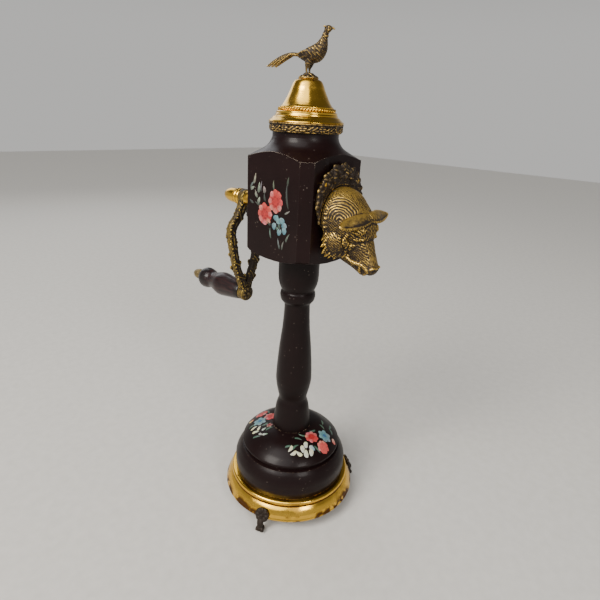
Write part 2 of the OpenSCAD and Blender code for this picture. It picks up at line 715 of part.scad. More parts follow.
module wreath_pins() {
  color(BRASS) wreath_pin_places(plate_y)
    turned([[0, -0.9], [0.9, -0.7], [1.5, 0], [wreath_pin_r, 0],
            [wreath_pin_r, wreath_t + wreath_pin_len - 1.6], [0, wreath_t + wreath_pin_len - 0.4]]);
}

// A brass box in the block that the blade slides in
module opener_socket() {
  len = blade_len + 1.5;
  color(BRASS) difference() {
    slot_space(fit + socket_wall, -flat - wreath_t, len + wreath_t);
    slot_space(fit, -flat - wreath_t - 1, len + wreath_t + 0.4);
  }
}

// The steel blade with its cap-lifting window, and the flange that screws to the head's back
module opener_blade() {
  blade_end = -flat + blade_len;
  window_r = blade_w / 2 - 2.5;
  color(STEEL) difference() {
    union() {
      translate([-blade_w / 2, head_y, opener_z - blade_t / 2])
        cube([blade_w, blade_end - head_y - blade_w / 2, blade_t]);
      translate([0, blade_end - blade_w / 2, opener_z - blade_t / 2])
        cylinder(r = blade_w / 2, h = blade_t, $fn = 64);
      translate([-flange_w / 2, head_y - flange_t, opener_z + blade_t / 2 - flange_h])
        cube([flange_w, flange_t, flange_h]);
    }
    translate([0, blade_end - blade_w / 2, opener_z - 5]) cylinder(r = window_r, h = 10, $fn = 48);
    translate([-window_r, blade_end - blade_w - 1, opener_z - 5])
      cube([2 * window_r, blade_w / 2 + 1, 10]);
    for (z = opener_screw_rows)
      along_y(head_y - flange_t - 1, opener_z + z) cylinder(r = opener_screw_r + fit, h = 5, $fn = 24);
    for (z = opener_screw_rows)
      along_y(head_y - 0.9, opener_z + z) cylinder(r = 2.2 + fit, h = 5, $fn = 24);
  }
}

module opener_screws() {
  color(STEEL) for (z = opener_screw_rows)
    along_y(head_y, opener_z + z)
      turned([[0, -7], [opener_screw_r, -6], [opener_screw_r, -0.9], [2.2, -0.9], [2.2, -0.1],
              [0, -0.1]]);
}

// How far the snout stands out as it is drawn below, before it is stretched
snout_drawn = 25.8;

// The animal's head: skull, muzzle bent down, cheeks and two ears that stand out sideways
module animal_head() {
  skull_z = opener_z - 9.5;
  reach = snout_reach / snout_drawn;
  color(OLD_BRASS) difference() {
    union() {
      hull() {
        along_y(head_y - 1.4, opener_z - 12) cylinder(r = 14.5, h = 1.4, $fn = 48);
        translate([0, head_y - 7 * reach, skull_z + 2]) sphere(r = 10, $fn = 32);
        translate([0, head_y - 11.5 * reach, skull_z - 5]) sphere(r = 7.6, $fn = 32);
      }
      hull() {
        translate([0, head_y - 11.5 * reach, skull_z - 10]) sphere(r = 8, $fn = 32);
        translate([0, head_y - 20.6 * reach, skull_z - 24.6]) sphere(r = 4.9, $fn = 32);
        translate([0, head_y - 17.5 * reach, skull_z - 25.2]) sphere(r = 4.6, $fn = 32);
      }
      hull() {
        for (side = [-1, 1])
          translate([side * 7.5, head_y - 6.5 * reach, skull_z - 14]) sphere(r = 6, $fn = 28);
        translate([0, head_y - 12 * reach, skull_z - 20]) sphere(r = 5, $fn = 28);
      }
      for (side = [-1, 1])
        hull() {
          translate([side * 7, head_y - 9.5 * reach, skull_z + 1]) sphere(r = 5, $fn = 28);
          translate([side * 18.8, head_y - 12.5 * reach, skull_z - 0.5]) sphere(r = 1.2, $fn = 20);
        }
    }
    translate([-40, head_y, skull_z - 60]) cube([80, 80, 120]);
    translate([-flange_w / 2 - fit, head_y - flange_t - fit,
               opener_z + blade_t / 2 - flange_h - fit])
      cube([flange_w + 2 * fit, 5, flange_h + 2 * fit]);
    for (z = opener_screw_rows)
      along_y(head_y - 8, opener_z + z) cylinder(r = opener_screw_r + fit, h = 10, $fn = 24);
  }
}

base_dish();
foot_left();
foot_right();
foot_back();
foot_rivets();
base_screw();
base_washer();
base_block();
column();
head_block();
gallery_band();
gallery_pins();
bell();
pheasant();
bell_eye();
clapper_rod();
clapper_ball();
crank_ferrule();
crank_sleeve();
crank_arm();
corkscrew();
crank_cap();
grip_pin();
grip();
grip_button();
oak_wreath();
wreath_pins();
opener_socket();
animal_head();
opener_blade();
opener_screws();
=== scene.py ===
import math
import random

import bpy
import bmesh
import numpy as np
from mathutils import Matrix, Vector


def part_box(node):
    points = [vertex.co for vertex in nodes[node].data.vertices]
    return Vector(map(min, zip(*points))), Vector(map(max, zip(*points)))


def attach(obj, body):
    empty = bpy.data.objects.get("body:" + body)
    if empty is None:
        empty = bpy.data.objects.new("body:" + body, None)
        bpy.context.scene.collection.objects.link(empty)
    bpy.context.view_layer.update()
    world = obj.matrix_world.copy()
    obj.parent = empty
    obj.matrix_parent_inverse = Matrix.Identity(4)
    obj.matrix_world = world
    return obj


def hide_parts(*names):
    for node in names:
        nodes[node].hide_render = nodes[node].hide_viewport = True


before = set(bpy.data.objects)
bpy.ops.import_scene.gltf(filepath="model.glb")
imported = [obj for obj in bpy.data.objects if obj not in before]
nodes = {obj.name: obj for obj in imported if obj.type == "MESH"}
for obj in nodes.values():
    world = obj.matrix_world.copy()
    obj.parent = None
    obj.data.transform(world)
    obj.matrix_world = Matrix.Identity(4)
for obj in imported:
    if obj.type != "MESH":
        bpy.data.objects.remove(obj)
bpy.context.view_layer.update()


# ---- camera, light and table ----
# The camera stands at the front left of the stand, a little lower than the bird, and looks
# slightly down. Soft daylight comes from windows on the left, in a plain pale room.

CAMERA_AT = Vector((-0.1862, -0.1673, 0.2329))
CAMERA_RIGHT = Vector((0.6773, -0.7341, 0.0481)).normalized()
CAMERA_AHEAD = Vector((0.6955, 0.6177, -0.3670)).normalized()
LENS = 0.02803
SENSOR = 0.036


def linked(name, data):
    """A new object in the scene."""
    piece = bpy.data.objects.new(name, data)
    bpy.context.scene.collection.objects.link(piece)
    return piece


camera_data = bpy.data.cameras.new("camera")
camera_data.lens = LENS * 1000
camera_data.sensor_width = SENSOR * 1000
camera_data.clip_start = 0.01
camera = linked("camera", camera_data)
camera_up = CAMERA_RIGHT.cross(CAMERA_AHEAD)
camera.matrix_world = Matrix((
    (CAMERA_RIGHT.x, camera_up.x, -CAMERA_AHEAD.x, CAMERA_AT.x),
    (CAMERA_RIGHT.y, camera_up.y, -CAMERA_AHEAD.y, CAMERA_AT.y),
    (CAMERA_RIGHT.z, camera_up.z, -CAMERA_AHEAD.z, CAMERA_AT.z),
    (0, 0, 0, 1)))
bpy.context.scene.camera = camera

MIDDLE = Vector((0, 0, 0.14))
DAYLIGHT_WAY = Vector((0.75, 0.15, -0.9))
WALL = (0.78, 0.77, 0.75)
CEILING = (0.16, 0.155, 0.15)
ROOM_LIGHT = 0.70


def shining(way):
    """The turn that makes a lamp shine that way."""
    return way.to_track_quat("-Z", "Y").to_euler()


def soft_light(name, at, size, power, colour):
    """A square soft light that faces the middle of the object."""
    data = bpy.data.lights.new(name, "AREA")
    data.size = size
    data.energy = power
    data.color = colour
    lamp = linked(name, data)
    lamp.location = at
    lamp.rotation_euler = shining(MIDDLE - Vector(at))


soft_light("window", (-0.75, 0.05, 0.75), 0.4, 9, (1.0, 0.95, 0.88))
soft_light("front_window", (-0.28, -0.85, 0.62), 0.3, 4.0, (1.0, 0.97, 0.93))
soft_light("back", (0.25, 0.9, 0.7), 0.6, 2.5, (0.95, 0.97, 1.0))

daylight_data = bpy.data.lights.new("daylight", "SUN")
daylight_data.angle = math.radians(50)
daylight_data.energy = 1.9
linked("daylight", daylight_data).rotation_euler = shining(DAYLIGHT_WAY)


class Value:
    """A number inside a material, on which Python's own arithmetic adds the Math nodes."""

    def __init__(self, tree, socket):
        self.tree = tree
        self.socket = socket

    def math(self, operation, *others):
        node = self.tree.nodes.new("ShaderNodeMath")
        node.operation = operation
        for place, item in enumerate((self,) + others):
            put(self.tree, node.inputs[place], item)
        return Value(self.tree, node.outputs[0])

    def __add__(self, other):
        return self.math("ADD", other)

    def __mul__(self, other):
        return self.math("MULTIPLY", other)

    def __sub__(self, other):
        return self.math("SUBTRACT", other)

    def __rsub__(self, other):
        return (self * -1.0) + other

    __radd__ = __add__
    __rmul__ = __mul__

    def between(self, low, high):
        """0 at low and 1 at high, with soft ends."""
        node = self.tree.nodes.new("ShaderNodeMapRange")
        node.interpolation_type = "SMOOTHSTEP"
        put(self.tree, node.inputs["Value"], self)
        node.inputs["From Min"].default_value = low
        node.inputs["From Max"].default_value = high
        return Value(self.tree, node.outputs["Result"])


def put(tree, socket, item):
    """Links a Value or a socket to a socket, or sets the socket's own number or colour."""
    if isinstance(item, Value):
        tree.links.new(item.socket, socket)
    elif isinstance(item, bpy.types.NodeSocket):
        tree.links.new(item, socket)
    elif isinstance(item, tuple) and len(item) == 3 and socket.type == "RGBA":
        socket.default_value = (*item, 1)
    else:
        socket.default_value = item


def blend(tree, mask, low, high):
    """A colour that goes from low to high as the mask goes from 0 to 1."""
    node = tree.nodes.new("ShaderNodeMix")
    node.data_type = "RGBA"
    for key, item in (("Factor_Float", mask), ("A_Color", low), ("B_Color", high)):
        put(tree, next(s for s in node.inputs if s.identifier == key), item)
    return Value(tree, next(s for s in node.outputs if s.identifier == "Result_Color"))


class Finish:
    """A material under construction: node() adds any node, and the shader takes the results."""

    def __init__(self, name):
        self.material = bpy.data.materials.new(name)
        self.material.use_nodes = True
        self.tree = self.material.node_tree
        self.shader = self.tree.nodes["Principled BSDF"]
        self.place = self.node("ShaderNodeTexCoord", output="Object")

    def node(self, kind, settings=(), sockets=(), output=0):
        node = self.tree.nodes.new(kind)
        for key, item in dict(settings).items():
            setattr(node, key, item)
        for key, item in dict(sockets).items():
            put(self.tree, node.inputs[key], item)
        return Value(self.tree, node.outputs[output])

    def along(self, axis):
        """The place along one axis."""
        return self.node("ShaderNodeSeparateXYZ", (), {"Vector": self.place}, axis)

    def noise(self, size, detail=3.0, stretch=None):
        """Clouds of about that size in metres, stretched along the axes if asked."""
        place = self.place
        if stretch:
            place = self.node("ShaderNodeMapping", (), {"Vector": place, "Scale": stretch})
        return self.node("ShaderNodeTexNoise", (),
                         {"Vector": place, "Scale": 1 / size, "Detail": detail}, "Fac")

    def specks(self, size, share):
        """1 in small round spots and 0 between them."""
        cells = self.node("ShaderNodeTexVoronoi", (), {"Vector": self.place, "Scale": 1 / size},
                          "Distance")
        return 1 - cells.between(share * 0.6, share)

    def attribute(self, name, output="Fac"):
        return self.node("ShaderNodeAttribute", {"attribute_name": name}, (), output)

    def tint(self, mask, low, high):
        return blend(self.tree, mask, low, high)

    def bump(self, height, depth):
        """Raises the surface by a height map whose 1 stands for depth metres."""
        self.surface(Normal=self.node("ShaderNodeBump", (), {
            "Height": height, "Distance": depth, "Strength": 1.0}, "Normal"))

    def surface(self, **sockets):
        """Sets or links the shader's sockets, with _ for a space in their names."""
        for key, item in sockets.items():
            put(self.tree, self.shader.inputs[key.replace("_", " ")], item)
        return self.material


def pale_room():
    """Pale walls all round and a darker ceiling, which the polished brass mirrors."""
    world = bpy.data.worlds.new("room")
    world.use_nodes = True
    tree = world.node_tree
    way = tree.nodes.new("ShaderNodeTexCoord").outputs["Generated"]
    split = tree.nodes.new("ShaderNodeSeparateXYZ")
    put(tree, split.inputs[0], way)
    up = Value(tree, split.outputs["Z"]).between(0.12, 0.55)
    background = tree.nodes["Background"].inputs
    put(tree, background["Color"], blend(tree, up, WALL, CEILING))
    background["Strength"].default_value = ROOM_LIGHT
    return world


bpy.context.scene.world = pale_room()
table_finish = Finish("pale_cloth")
weave = table_finish.noise(0.006, 4)
table_finish.surface(Base_Color=table_finish.tint(weave, (0.56, 0.54, 0.50), (0.68, 0.66, 0.62)),
                     Roughness=0.85)

TABLE_HALF = 2.5
table_data = bpy.data.meshes.new("table")
table_data.from_pydata([(x * TABLE_HALF, y * TABLE_HALF, 0) for x, y in
                        ((-1, -1), (1, -1), (1, 1), (-1, 1))], [], [(0, 1, 2, 3)])
table_data.materials.append(table_finish.material)
table = linked("table", table_data)


# ---- dish ----
# A shallow dish spun from one sheet of brass, upside down: rolled rim, swelling skirt, a step
# and a rounded top edge. It is polished, and brown in the corners where the cloth never went.

DISH_SHEET = 0.0008
DISH_LIP = 0.0009
DISH_ROLL = 0.0015
DISH_LEDGE = 0.0024
SCREW_HOLE_R = 0.0021
DENTS = 14


def curve(points, steps=10):
    """A smooth curve through a few points, as a list of points."""
    pts = [np.array(p, float) for p in points]
    out = []
    for i in range(len(pts) - 1):
        a, b, c, d = pts[max(i - 1, 0)], pts[i], pts[i + 1], pts[min(i + 2, len(pts) - 1)]
        for k in range(steps):
            t = k / steps
            out.append(0.5 * (2 * b + (c - a) * t + (2 * a - 5 * b + 4 * c - d) * t * t
                              + (3 * b - 3 * c + d - a) * t ** 3))
    return out + [pts[-1]]


def arc(x, z, radius, start, end, steps=10):
    """Points along a round corner, with angles in degrees."""
    angles = np.radians(np.linspace(start, end, steps + 1))
    return [np.array((x + radius * math.cos(a), z + radius * math.sin(a))) for a in angles]


def mix(a, b, t):
    return a + (b - a) * t


def make(name, points, faces, material=None, sharp=40):
    """A mesh object from points and faces, smooth except at corners sharper than "sharp"."""
    data = bpy.data.meshes.new(name)
    data.from_pydata([tuple(p) for p in points], [], faces)
    work = bmesh.new()
    work.from_mesh(data)
    bmesh.ops.remove_doubles(work, verts=work.verts, dist=1e-7)
    bmesh.ops.recalc_face_normals(work, faces=work.faces)
    work.to_mesh(data)
    work.free()
    data.shade_smooth()
    data.set_sharp_from_angle(angle=math.radians(sharp))
    if material:
        data.materials.append(material)
    return linked(name, data)


def turned(name, outline, material=None, around=160, sharp=40, place=None):
    """Spins a closed outline of (radius, height) about +Z, then moves it by the place matrix."""
    points = []
    rings = []
    for radius, height in outline:
        if radius < 1e-6:
            rings.append([len(points)] * around)
            points.append(Vector((0, 0, height)))
            continue
        rings.append(list(range(len(points), len(points) + around)))
        for k in range(around):
            a = 2 * math.pi * k / around
            points.append(Vector((radius * math.cos(a), radius * math.sin(a), height)))
    faces = []
    for low, high in zip(rings, rings[1:] + rings[:1]):
        for k in range(around):
            n = (k + 1) % around
            face = []
            for index in (low[k], low[n], high[n], high[k]):
                if index not in face:
                    face.append(index)
            if len(face) > 2:
                faces.append(face)
    if place:
        points = [place @ p for p in points]
    return make(name, points, faces, material, sharp)


def finish_piece(piece, body, *replaced, slot=None):
    """Hands a finished piece to its body, in the place of the CAD nodes it stands for."""
    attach(piece, body)
    if replaced:
        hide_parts(*replaced)
    return piece


def polished_brass(name, ring_size=0.0004, foul=None, plain=False):
    """Spun and polished brass: fine turning lines, gold where it is bright, brown in hollows and
    in patches below the height "foul". Plain pieces have no hollows."""
    finish = Finish(name)
    clouds = finish.noise(0.016, 5)
    dirt = finish.noise(0.004, 6)
    spots = finish.specks(0.005, 0.14)
    stain = clouds.between(0.52, 0.70) * 0.55 + spots * dirt.between(0.45, 0.6) * 0.8
    if not plain:
        hollow = 1 - finish.attribute("relief")
        stain = stain + hollow.between(0.56, 0.72) * 0.9
    if foul:
        clean = finish.along("Z").between(foul - 0.002, foul + 0.004)
        patches = finish.noise(0.013, 4).between(0.38, 0.54) * dirt.between(0.34, 0.50)
        stain = stain + (1 - clean) * patches * 1.5
    stain = stain.between(0.05, 1.0)
    lines = finish.noise(ring_size, 2, (0.02, 0.02, 1.0))
    finish.bump(lines * 0.7 + dirt * 0.3, 0.00002)
    gold = finish.tint(clouds, (0.68, 0.38, 0.035), (0.84, 0.52, 0.075))
    return finish.surface(
        Base_Color=finish.tint(stain, gold, (0.10, 0.042, 0.010)),
        Metallic=1.0,
        Roughness=0.13 + stain * 0.35 + dirt * 0.14)


def read(mesh, name):
    """The points' own places or normals, as rows of three numbers."""
    rows = np.zeros(len(mesh.vertices) * 3)
    mesh.vertices.foreach_get(name, rows)
    return rows.reshape(-1, 3)


def write(mesh, places):
    """Puts the points at new places."""
    mesh.vertices.foreach_set("co", places.ravel())
    mesh.update()


def store_relief(piece, height, passes=14, rub_and_light=None):
    """Stores how far each point stands out of its neighbourhood: 0.5 is level, 1 is a ridge. A
    rule given as the last argument may add to it: wear where hands or a cloth reach, and
    painted light and shade by which way a surface faces."""
    mesh = piece.data
    place = read(mesh, "co")
    normal = read(mesh, "normal")
    count = len(place)
    edges = np.zeros(len(mesh.edges) * 2, int)
    mesh.edges.foreach_get("vertices", edges)
    a, b = edges.reshape(-1, 2).T
    neighbours = np.maximum(np.bincount(a, minlength=count) + np.bincount(b, minlength=count), 1)
    soft = place.copy()
    for _ in range(passes):
        total = np.zeros_like(soft)
        for axis in range(3):
            total[:, axis] = (np.bincount(a, soft[b, axis], count)
                              + np.bincount(b, soft[a, axis], count))
        soft = 0.5 * soft + 0.5 * total / neighbours[:, None]
    out = ((place - soft) * normal).sum(1) / height
    if rub_and_light:
        out += rub_and_light(place, normal)
    layer = mesh.attributes.new("relief", "FLOAT", "POINT")
    layer.data.foreach_set("value", np.clip(0.5 + 0.5 * out, 0, 1).astype(np.float32))


def dent(piece, reach, depth, seed):
    """Knocks a few shallow dents into a thin brass piece."""
    rng = random.Random(seed)
    points = piece.data.vertices
    spots = [points[rng.randrange(len(points))].co.copy() for _ in range(DENTS)]
    for vertex in points:
        for spot in spots:
            gap = (vertex.co - spot).length
            if gap < reach:
                inward = Vector((vertex.co.x, vertex.co.y, 0)).normalized()
                vertex.co -= inward * depth * (1 - (gap / reach) ** 2) ** 2


low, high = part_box("base_dish")
dish_r, dish_low, dish_top = high.x, low.z, high.z
dish_h = dish_top - dish_low
ledge_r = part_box("base_block")[1].x + DISH_LEDGE
skirt = curve([(dish_r - 0.0005, dish_low + 0.0019),
               (mix(dish_r, ledge_r, 0.25), dish_low + dish_h * 0.32),
               (mix(dish_r, ledge_r, 0.65), dish_low + dish_h * 0.54),
               (ledge_r - 0.0004, dish_top - 2 * DISH_ROLL - 0.0003)])
skirt += arc(ledge_r - DISH_ROLL, dish_top - DISH_ROLL, DISH_ROLL, -35, 90)
lip = arc(dish_r - DISH_LIP, dish_low + DISH_LIP, DISH_LIP, 40, -200, 16)
inner = [p - np.array((DISH_SHEET, DISH_SHEET)) for p in skirt[8:]]
dish_outline = ([(SCREW_HOLE_R, dish_top - DISH_SHEET), (SCREW_HOLE_R, dish_top)]
                + skirt[::-1] + lip + inner)
spun_brass = polished_brass("spun_brass", foul=dish_low + 0.0022)
dish = turned("dish", dish_outline, spun_brass, around=256)
dent(dish, 0.004, 0.00012, 5)
store_relief(dish, 0.00025)
finish_piece(dish, "stand", "base_dish", slot="polished_brass")


# ---- feet ----
# Three small castings riveted to the skirt: a rosette, a short leg bent like a leaf stem, and a
# round toe with three claws. The brass is patinated nearly black and rubbed bright where it stands
# out.

FIT = 0.00005
FOOT_ANGLES = (-69, 59, 175)
SKIRT_TILT = 72
ROSETTE_R = 0.0045
TOE_R = 0.0026
TOE_REACH = 0.0048
FINE_CELL = 0.00017


def ball(at, size, turn=None):
    """A round or oval solid with three half sizes, as points and faces."""
    work = bmesh.new()
    bmesh.ops.create_uvsphere(work, u_segments=20, v_segments=12, radius=1)
    turn = turn or Matrix.Identity(3)
    points = [Vector(at) + turn @ Vector([v.co[i] * size[i] for i in range(3)])
              for v in work.verts]
    faces = [[v.index for v in face.verts] for face in work.faces]
    work.free()
    return points, faces


def loft(rows, across=(1, 0, 0), steps=5, sides=18, corner=1.0):
    """A closed solid of oval rings along a path. A row is x, y, z, half width, half depth. A
    corner below 1 makes the rings squarer."""
    rows = curve(rows, steps)
    across = Vector(across)
    points, faces = [], []
    for i, row in enumerate(rows):
        ahead = Vector(rows[min(i + 1, len(rows) - 1)][:3]) - Vector(rows[max(i - 1, 0)][:3])
        ahead.normalize()
        side = (across - ahead * across.dot(ahead)).normalized()
        up = ahead.cross(side)
        for k in range(sides):
            a = 2 * math.pi * k / sides
            c, s = (math.copysign(abs(f(a)) ** corner, f(a)) for f in (math.cos, math.sin))
            points.append(Vector(row[:3]) + side * (row[3] * c) + up * (row[4] * s))
    for i in range(len(rows) - 1):
        for k in range(sides):
            n = (k + 1) % sides
            faces.append([i * sides + k, i * sides + n, (i + 1) * sides + n, (i + 1) * sides + k])
    faces.append(list(range(sides)))
    faces.append([(len(rows) - 1) * sides + k for k in range(sides)])
    return points, faces


def moved(shape, place):
    """The same shape at another place."""
    return [place @ Vector(p) for p in shape[0]], shape[1]


def ringed(shape, count, place=Matrix.Identity(4)):
    """Copies of a shape turned about the Z axis, all moved by the place matrix."""
    return [moved(shape, place @ Matrix.Rotation(math.radians(360 * k / count), 4, "Z"))
            for k in range(count)]


def settle(piece):
    """Makes a piece's modifiers part of its mesh."""
    graph = bpy.context.evaluated_depsgraph_get()
    data = bpy.data.meshes.new_from_object(piece.evaluated_get(graph))
    piece.modifiers.clear()
    piece.data = data
    return piece


def joined(shapes):
    """Several shapes as one list of points and one of faces."""
    points, faces = [], []
    for shape_points, shape_faces in shapes:
        faces += [[k + len(points) for k in face] for face in shape_faces]
        points += list(shape_points)
    return points, faces


def cast(name, shapes, cell, material):
    """Fuses closed shapes into one casting, under a skin of small cells."""
    piece = make(name, *joined(shapes), material)
    skin = piece.modifiers.new("skin", "REMESH")
    skin.mode = "VOXEL"
    skin.voxel_size = cell
    skin.use_smooth_shade = True
    return settle(piece)


def carve(piece, rule):
    """Moves each point out along its normal by what rule(places, normals) gives, in metres."""
    mesh = piece.data
    place = read(mesh, "co")
    normal = read(mesh, "normal")
    write(mesh, place + normal * rule(place, normal)[:, None])


def soften(piece, rounds):
    """Rounds off the steps that the cells leave."""
    smooth = piece.modifiers.new("smooth", "SMOOTH")
    smooth.iterations = rounds
    smooth.factor = 0.5
    settle(piece)


def antique_brass(name, gold=(0.72, 0.46, 0.12), low=0.44, high=0.60):
    """Cast brass with black-brown patina in the hollows, rubbed bright on what stands out."""
    finish = Finish(name)
    grime = finish.noise(0.0014, 4)
    clouds = finish.noise(0.009, 3)
    # where a piece's relief carries painted light and shade, this bright mask paints it too
    rub_and_light = (finish.attribute("relief") + grime * 0.22 + clouds * 0.16 - 0.19).between(low, high)
    shine = finish.tint(clouds, gold, tuple(min(1, c * 1.25) for c in gold))
    finish.bump(grime, 0.00003)
    return finish.surface(
        Base_Color=finish.tint(rub_and_light, (0.022, 0.014, 0.009), shine),
        Metallic=0.55 + rub_and_light * 0.45,
        Roughness=0.52 - rub_and_light * 0.27 + grime * 0.08)


foot_brass = antique_brass("foot_brass", (0.70, 0.44, 0.11), 0.61, 0.74)
on_skirt = (Matrix.Translation((0, -dish_r - FIT, dish_low + DISH_LIP))
            @ Matrix.Rotation(math.radians(SKIRT_TILT), 4, "X")
            @ Matrix.Translation((0, 0.0018, 0)))


def foot_shapes():
    """One foot, drawn towards the front."""
    petal = ball((ROSETTE_R * 0.62, 0, 0.0012), (0.0016, 0.0011, 0.0008))
    shapes = [moved(ball((0, 0, 0.0007), (ROSETTE_R, ROSETTE_R, 0.0008)), on_skirt),
              moved(ball((0, 0, 0.0016), (0.0013, 0.0013, 0.0011)), on_skirt)]
    shapes += ringed(petal, 8, on_skirt)
    toe_y = TOE_R - dish_r - TOE_REACH
    shapes.append(loft([(0, -dish_r - 0.0014, dish_low + 0.0012, 0.0022, 0.0011),
                        (0, -dish_r - 0.0028, dish_low * 0.78, 0.0019, 0.0014),
                        (0, -dish_r - 0.0020, dish_low * 0.5, 0.0016, 0.0014),
                        (0, toe_y, TOE_R * 1.1, 0.0021, 0.0019)]))
    for side in (-1, 0, 1):
        shapes.append(loft([(side * 0.0006, toe_y + 0.001, TOE_R * 1.3, 0.0009, 0.0009),
                            (side * 0.0015, toe_y - 0.0006, TOE_R * 1.05, 0.0011, 0.0013),
                            (side * 0.0017, toe_y - 0.00163, TOE_R * 0.55, 0.0008, 0.0009)]))
    shapes.append(ball((0, toe_y + 0.0004, TOE_R * 0.93),
                       (TOE_R * 0.95, TOE_R * 0.9, TOE_R * 0.92)))
    return shapes


for foot_name, angle in zip(("foot_left", "foot_right", "foot_back"), FOOT_ANGLES):
    turn = Matrix.Rotation(math.radians(angle), 4, "Z")
    foot = cast("cast_" + foot_name, [moved(shape, turn) for shape in foot_shapes()],
                FINE_CELL, foot_brass)
    soften(foot, 2)
    store_relief(foot, 0.00035)
    finish_piece(foot, "stand", foot_name, slot="antique_brass")


# ---- fixings under the dish ----
# A long steel wood screw with a wide washer draws the column, the base block and the dish
# together from below, and three brass rivets hold the feet.

def coat(material, *names):
    """Gives CAD pieces their finish."""
    for name in names:
        for place in nodes[name].material_slots:
            place.material = material


def steel(name):
    """Bright turned steel, with fine tool lines and a trace of oil."""
    finish = Finish(name)
    lines = finish.noise(0.0003, 2, (1.0, 0.05, 1.0))
    oil = finish.noise(0.004, 4)
    finish.bump(lines, 0.000006)
    return finish.surface(Base_Color=finish.tint(oil, (0.40, 0.40, 0.41), (0.62, 0.62, 0.62)),
                          Metallic=1.0, Roughness=0.24 + oil * 0.2)


coat(steel("screw_steel"), "base_screw", "base_washer")
plain_brass = polished_brass("fixing_brass", plain=True)
coat(plain_brass, "foot_rivets")


# ---- turned base block ----
# A fat roll, a deep groove and a low dome, turned from one piece of close-grained wood and
# lacquered dark brown. Two bunches of flowers are painted on the dome, front and back.

ROLL_H = 0.0176
GROOVE_IN = 0.0056
TIER_IN = 0.0046
COLUMN_FOOT_R = 0.0119
TENON_R = 0.006
TENON_LEN = 0.0135


def lacquer(name, tone=(0.0075, 0.0030, 0.0030)):
    """Brown-black lacquer over wood: soft gloss, dust, and bare wood where an edge is rubbed."""
    finish = Finish(name)
    clouds = finish.noise(0.018, 4)
    smear = finish.noise(0.005, 5)
    grain = finish.noise(0.0012, 4, (1.0, 1.0, 0.12))
    dust = finish.specks(0.0021, 0.13) * finish.noise(0.007, 2).between(0.5, 0.64)
    chip = finish.noise(0.0011, 3)
    bare = finish.attribute("relief").between(0.60, 0.80) * chip.between(0.47, 0.62)
    wood = finish.tint(clouds, tuple(c * 0.55 for c in tone), tuple(c * 1.5 for c in tone))
    dusty = finish.tint(dust * 0.5, wood, (0.30, 0.24, 0.20))
    finish.bump(grain * 0.6 + smear * 0.4, 0.00002)
    return finish.surface(
        Base_Color=finish.tint(bare, dusty, (0.42, 0.30, 0.19)),
        Roughness=0.30 + smear * 0.16 + bare * 0.2 + dust * 0.2,
        Coat_Weight=0.07, Coat_Roughness=0.14, Specular_IOR_Level=0.12)


def finer(outline, step=0.0006):
    """The same outline with points no further apart than step, for even wear at the corners."""
    points = []
    for (r0, z0), (r1, z1) in zip(outline, outline[1:] + outline[:1]):
        parts = max(1, math.ceil(math.hypot(r1 - r0, z1 - z0) / step))
        points += [(mix(r0, r1, k / parts), mix(z0, z1, k / parts)) for k in range(parts)]
    return points


low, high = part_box("base_block")
base_r, base_top = high.x, high.z
groove_r = base_r - GROOVE_IN
tier_r = base_r - TIER_IN
roll_top = low.z + ROLL_H
tier_z = roll_top + 0.0036
seat_r = COLUMN_FOOT_R + 0.0003
dome = curve([(tier_r - 0.0003, roll_top + 0.0014), (tier_r, roll_top + 0.0026),
              (tier_r - 0.0004, tier_z),
              (mix(tier_r, seat_r, 0.2), mix(tier_z, base_top, 0.34)),
              (mix(tier_r, seat_r, 0.55), mix(tier_z, base_top, 0.78)), (seat_r, base_top)], 14)
base_outline = ([(SCREW_HOLE_R, low.z), (base_r - 0.0008, low.z)]
                + curve([(base_r - 0.0007, low.z + 0.0002), (base_r - 0.0001, low.z + ROLL_H * 0.2),
                         (base_r, low.z + ROLL_H * 0.38), (base_r - 0.0003, low.z + ROLL_H * 0.6),
                         (base_r - 0.0022, low.z + ROLL_H * 0.83),
                         (groove_r + 0.0016, roll_top - 0.0006)], 12)
                + [(groove_r, roll_top - 0.0002), (groove_r, roll_top + 0.0009)] + dome
                + [(TENON_R + FIT, base_top), (TENON_R + FIT, base_top - TENON_LEN),
                   (SCREW_HOLE_R, base_top - TENON_LEN)])
dark_lacquer = lacquer("dark_lacquer")
base = turned("turned_base", finer(base_outline), dark_lacquer, around=256)
store_relief(base, 0.0003, 5)
finish_piece(base, "stand", "base_block", slot="lacquered_wood")


# ---- painted flowers on the dome ----
# Oil paint laid on the lacquer with a small round brush: each petal is one fat stroke, thick in
# the middle and thin at its edge, with a second colour picked up on one side of the brush.

CORAL = (0.38, 0.022, 0.020)
DEEP_RED = (0.16, 0.005, 0.007)
ROSE_PINK = (0.52, 0.075, 0.065)
PALE_PINK = (0.62, 0.24, 0.21)
WHITE = (0.48, 0.50, 0.45)
SKY = (0.05, 0.17, 0.21)
DEEP_BLUE = (0.03, 0.09, 0.22)
CREAM = (0.68, 0.64, 0.36)
LEAF = (0.030, 0.085, 0.050)
SAGE = (0.085, 0.14, 0.11)
PAINT_T = 0.00013


def oil_paint():
    """Thick paint in the colours that each stroke carries."""
    finish = Finish("oil_paint")
    bristle = finish.noise(0.0003, 3)
    wash = finish.noise(0.0009, 3)
    colour = finish.attribute("paint", "Color")
    finish.bump(bristle, 0.00004)
    return finish.surface(Base_Color=finish.tint(wash.between(0.5, 0.75) * 0.45, colour,
                                                 (0.03, 0.012, 0.010)),
                          Roughness=0.42)


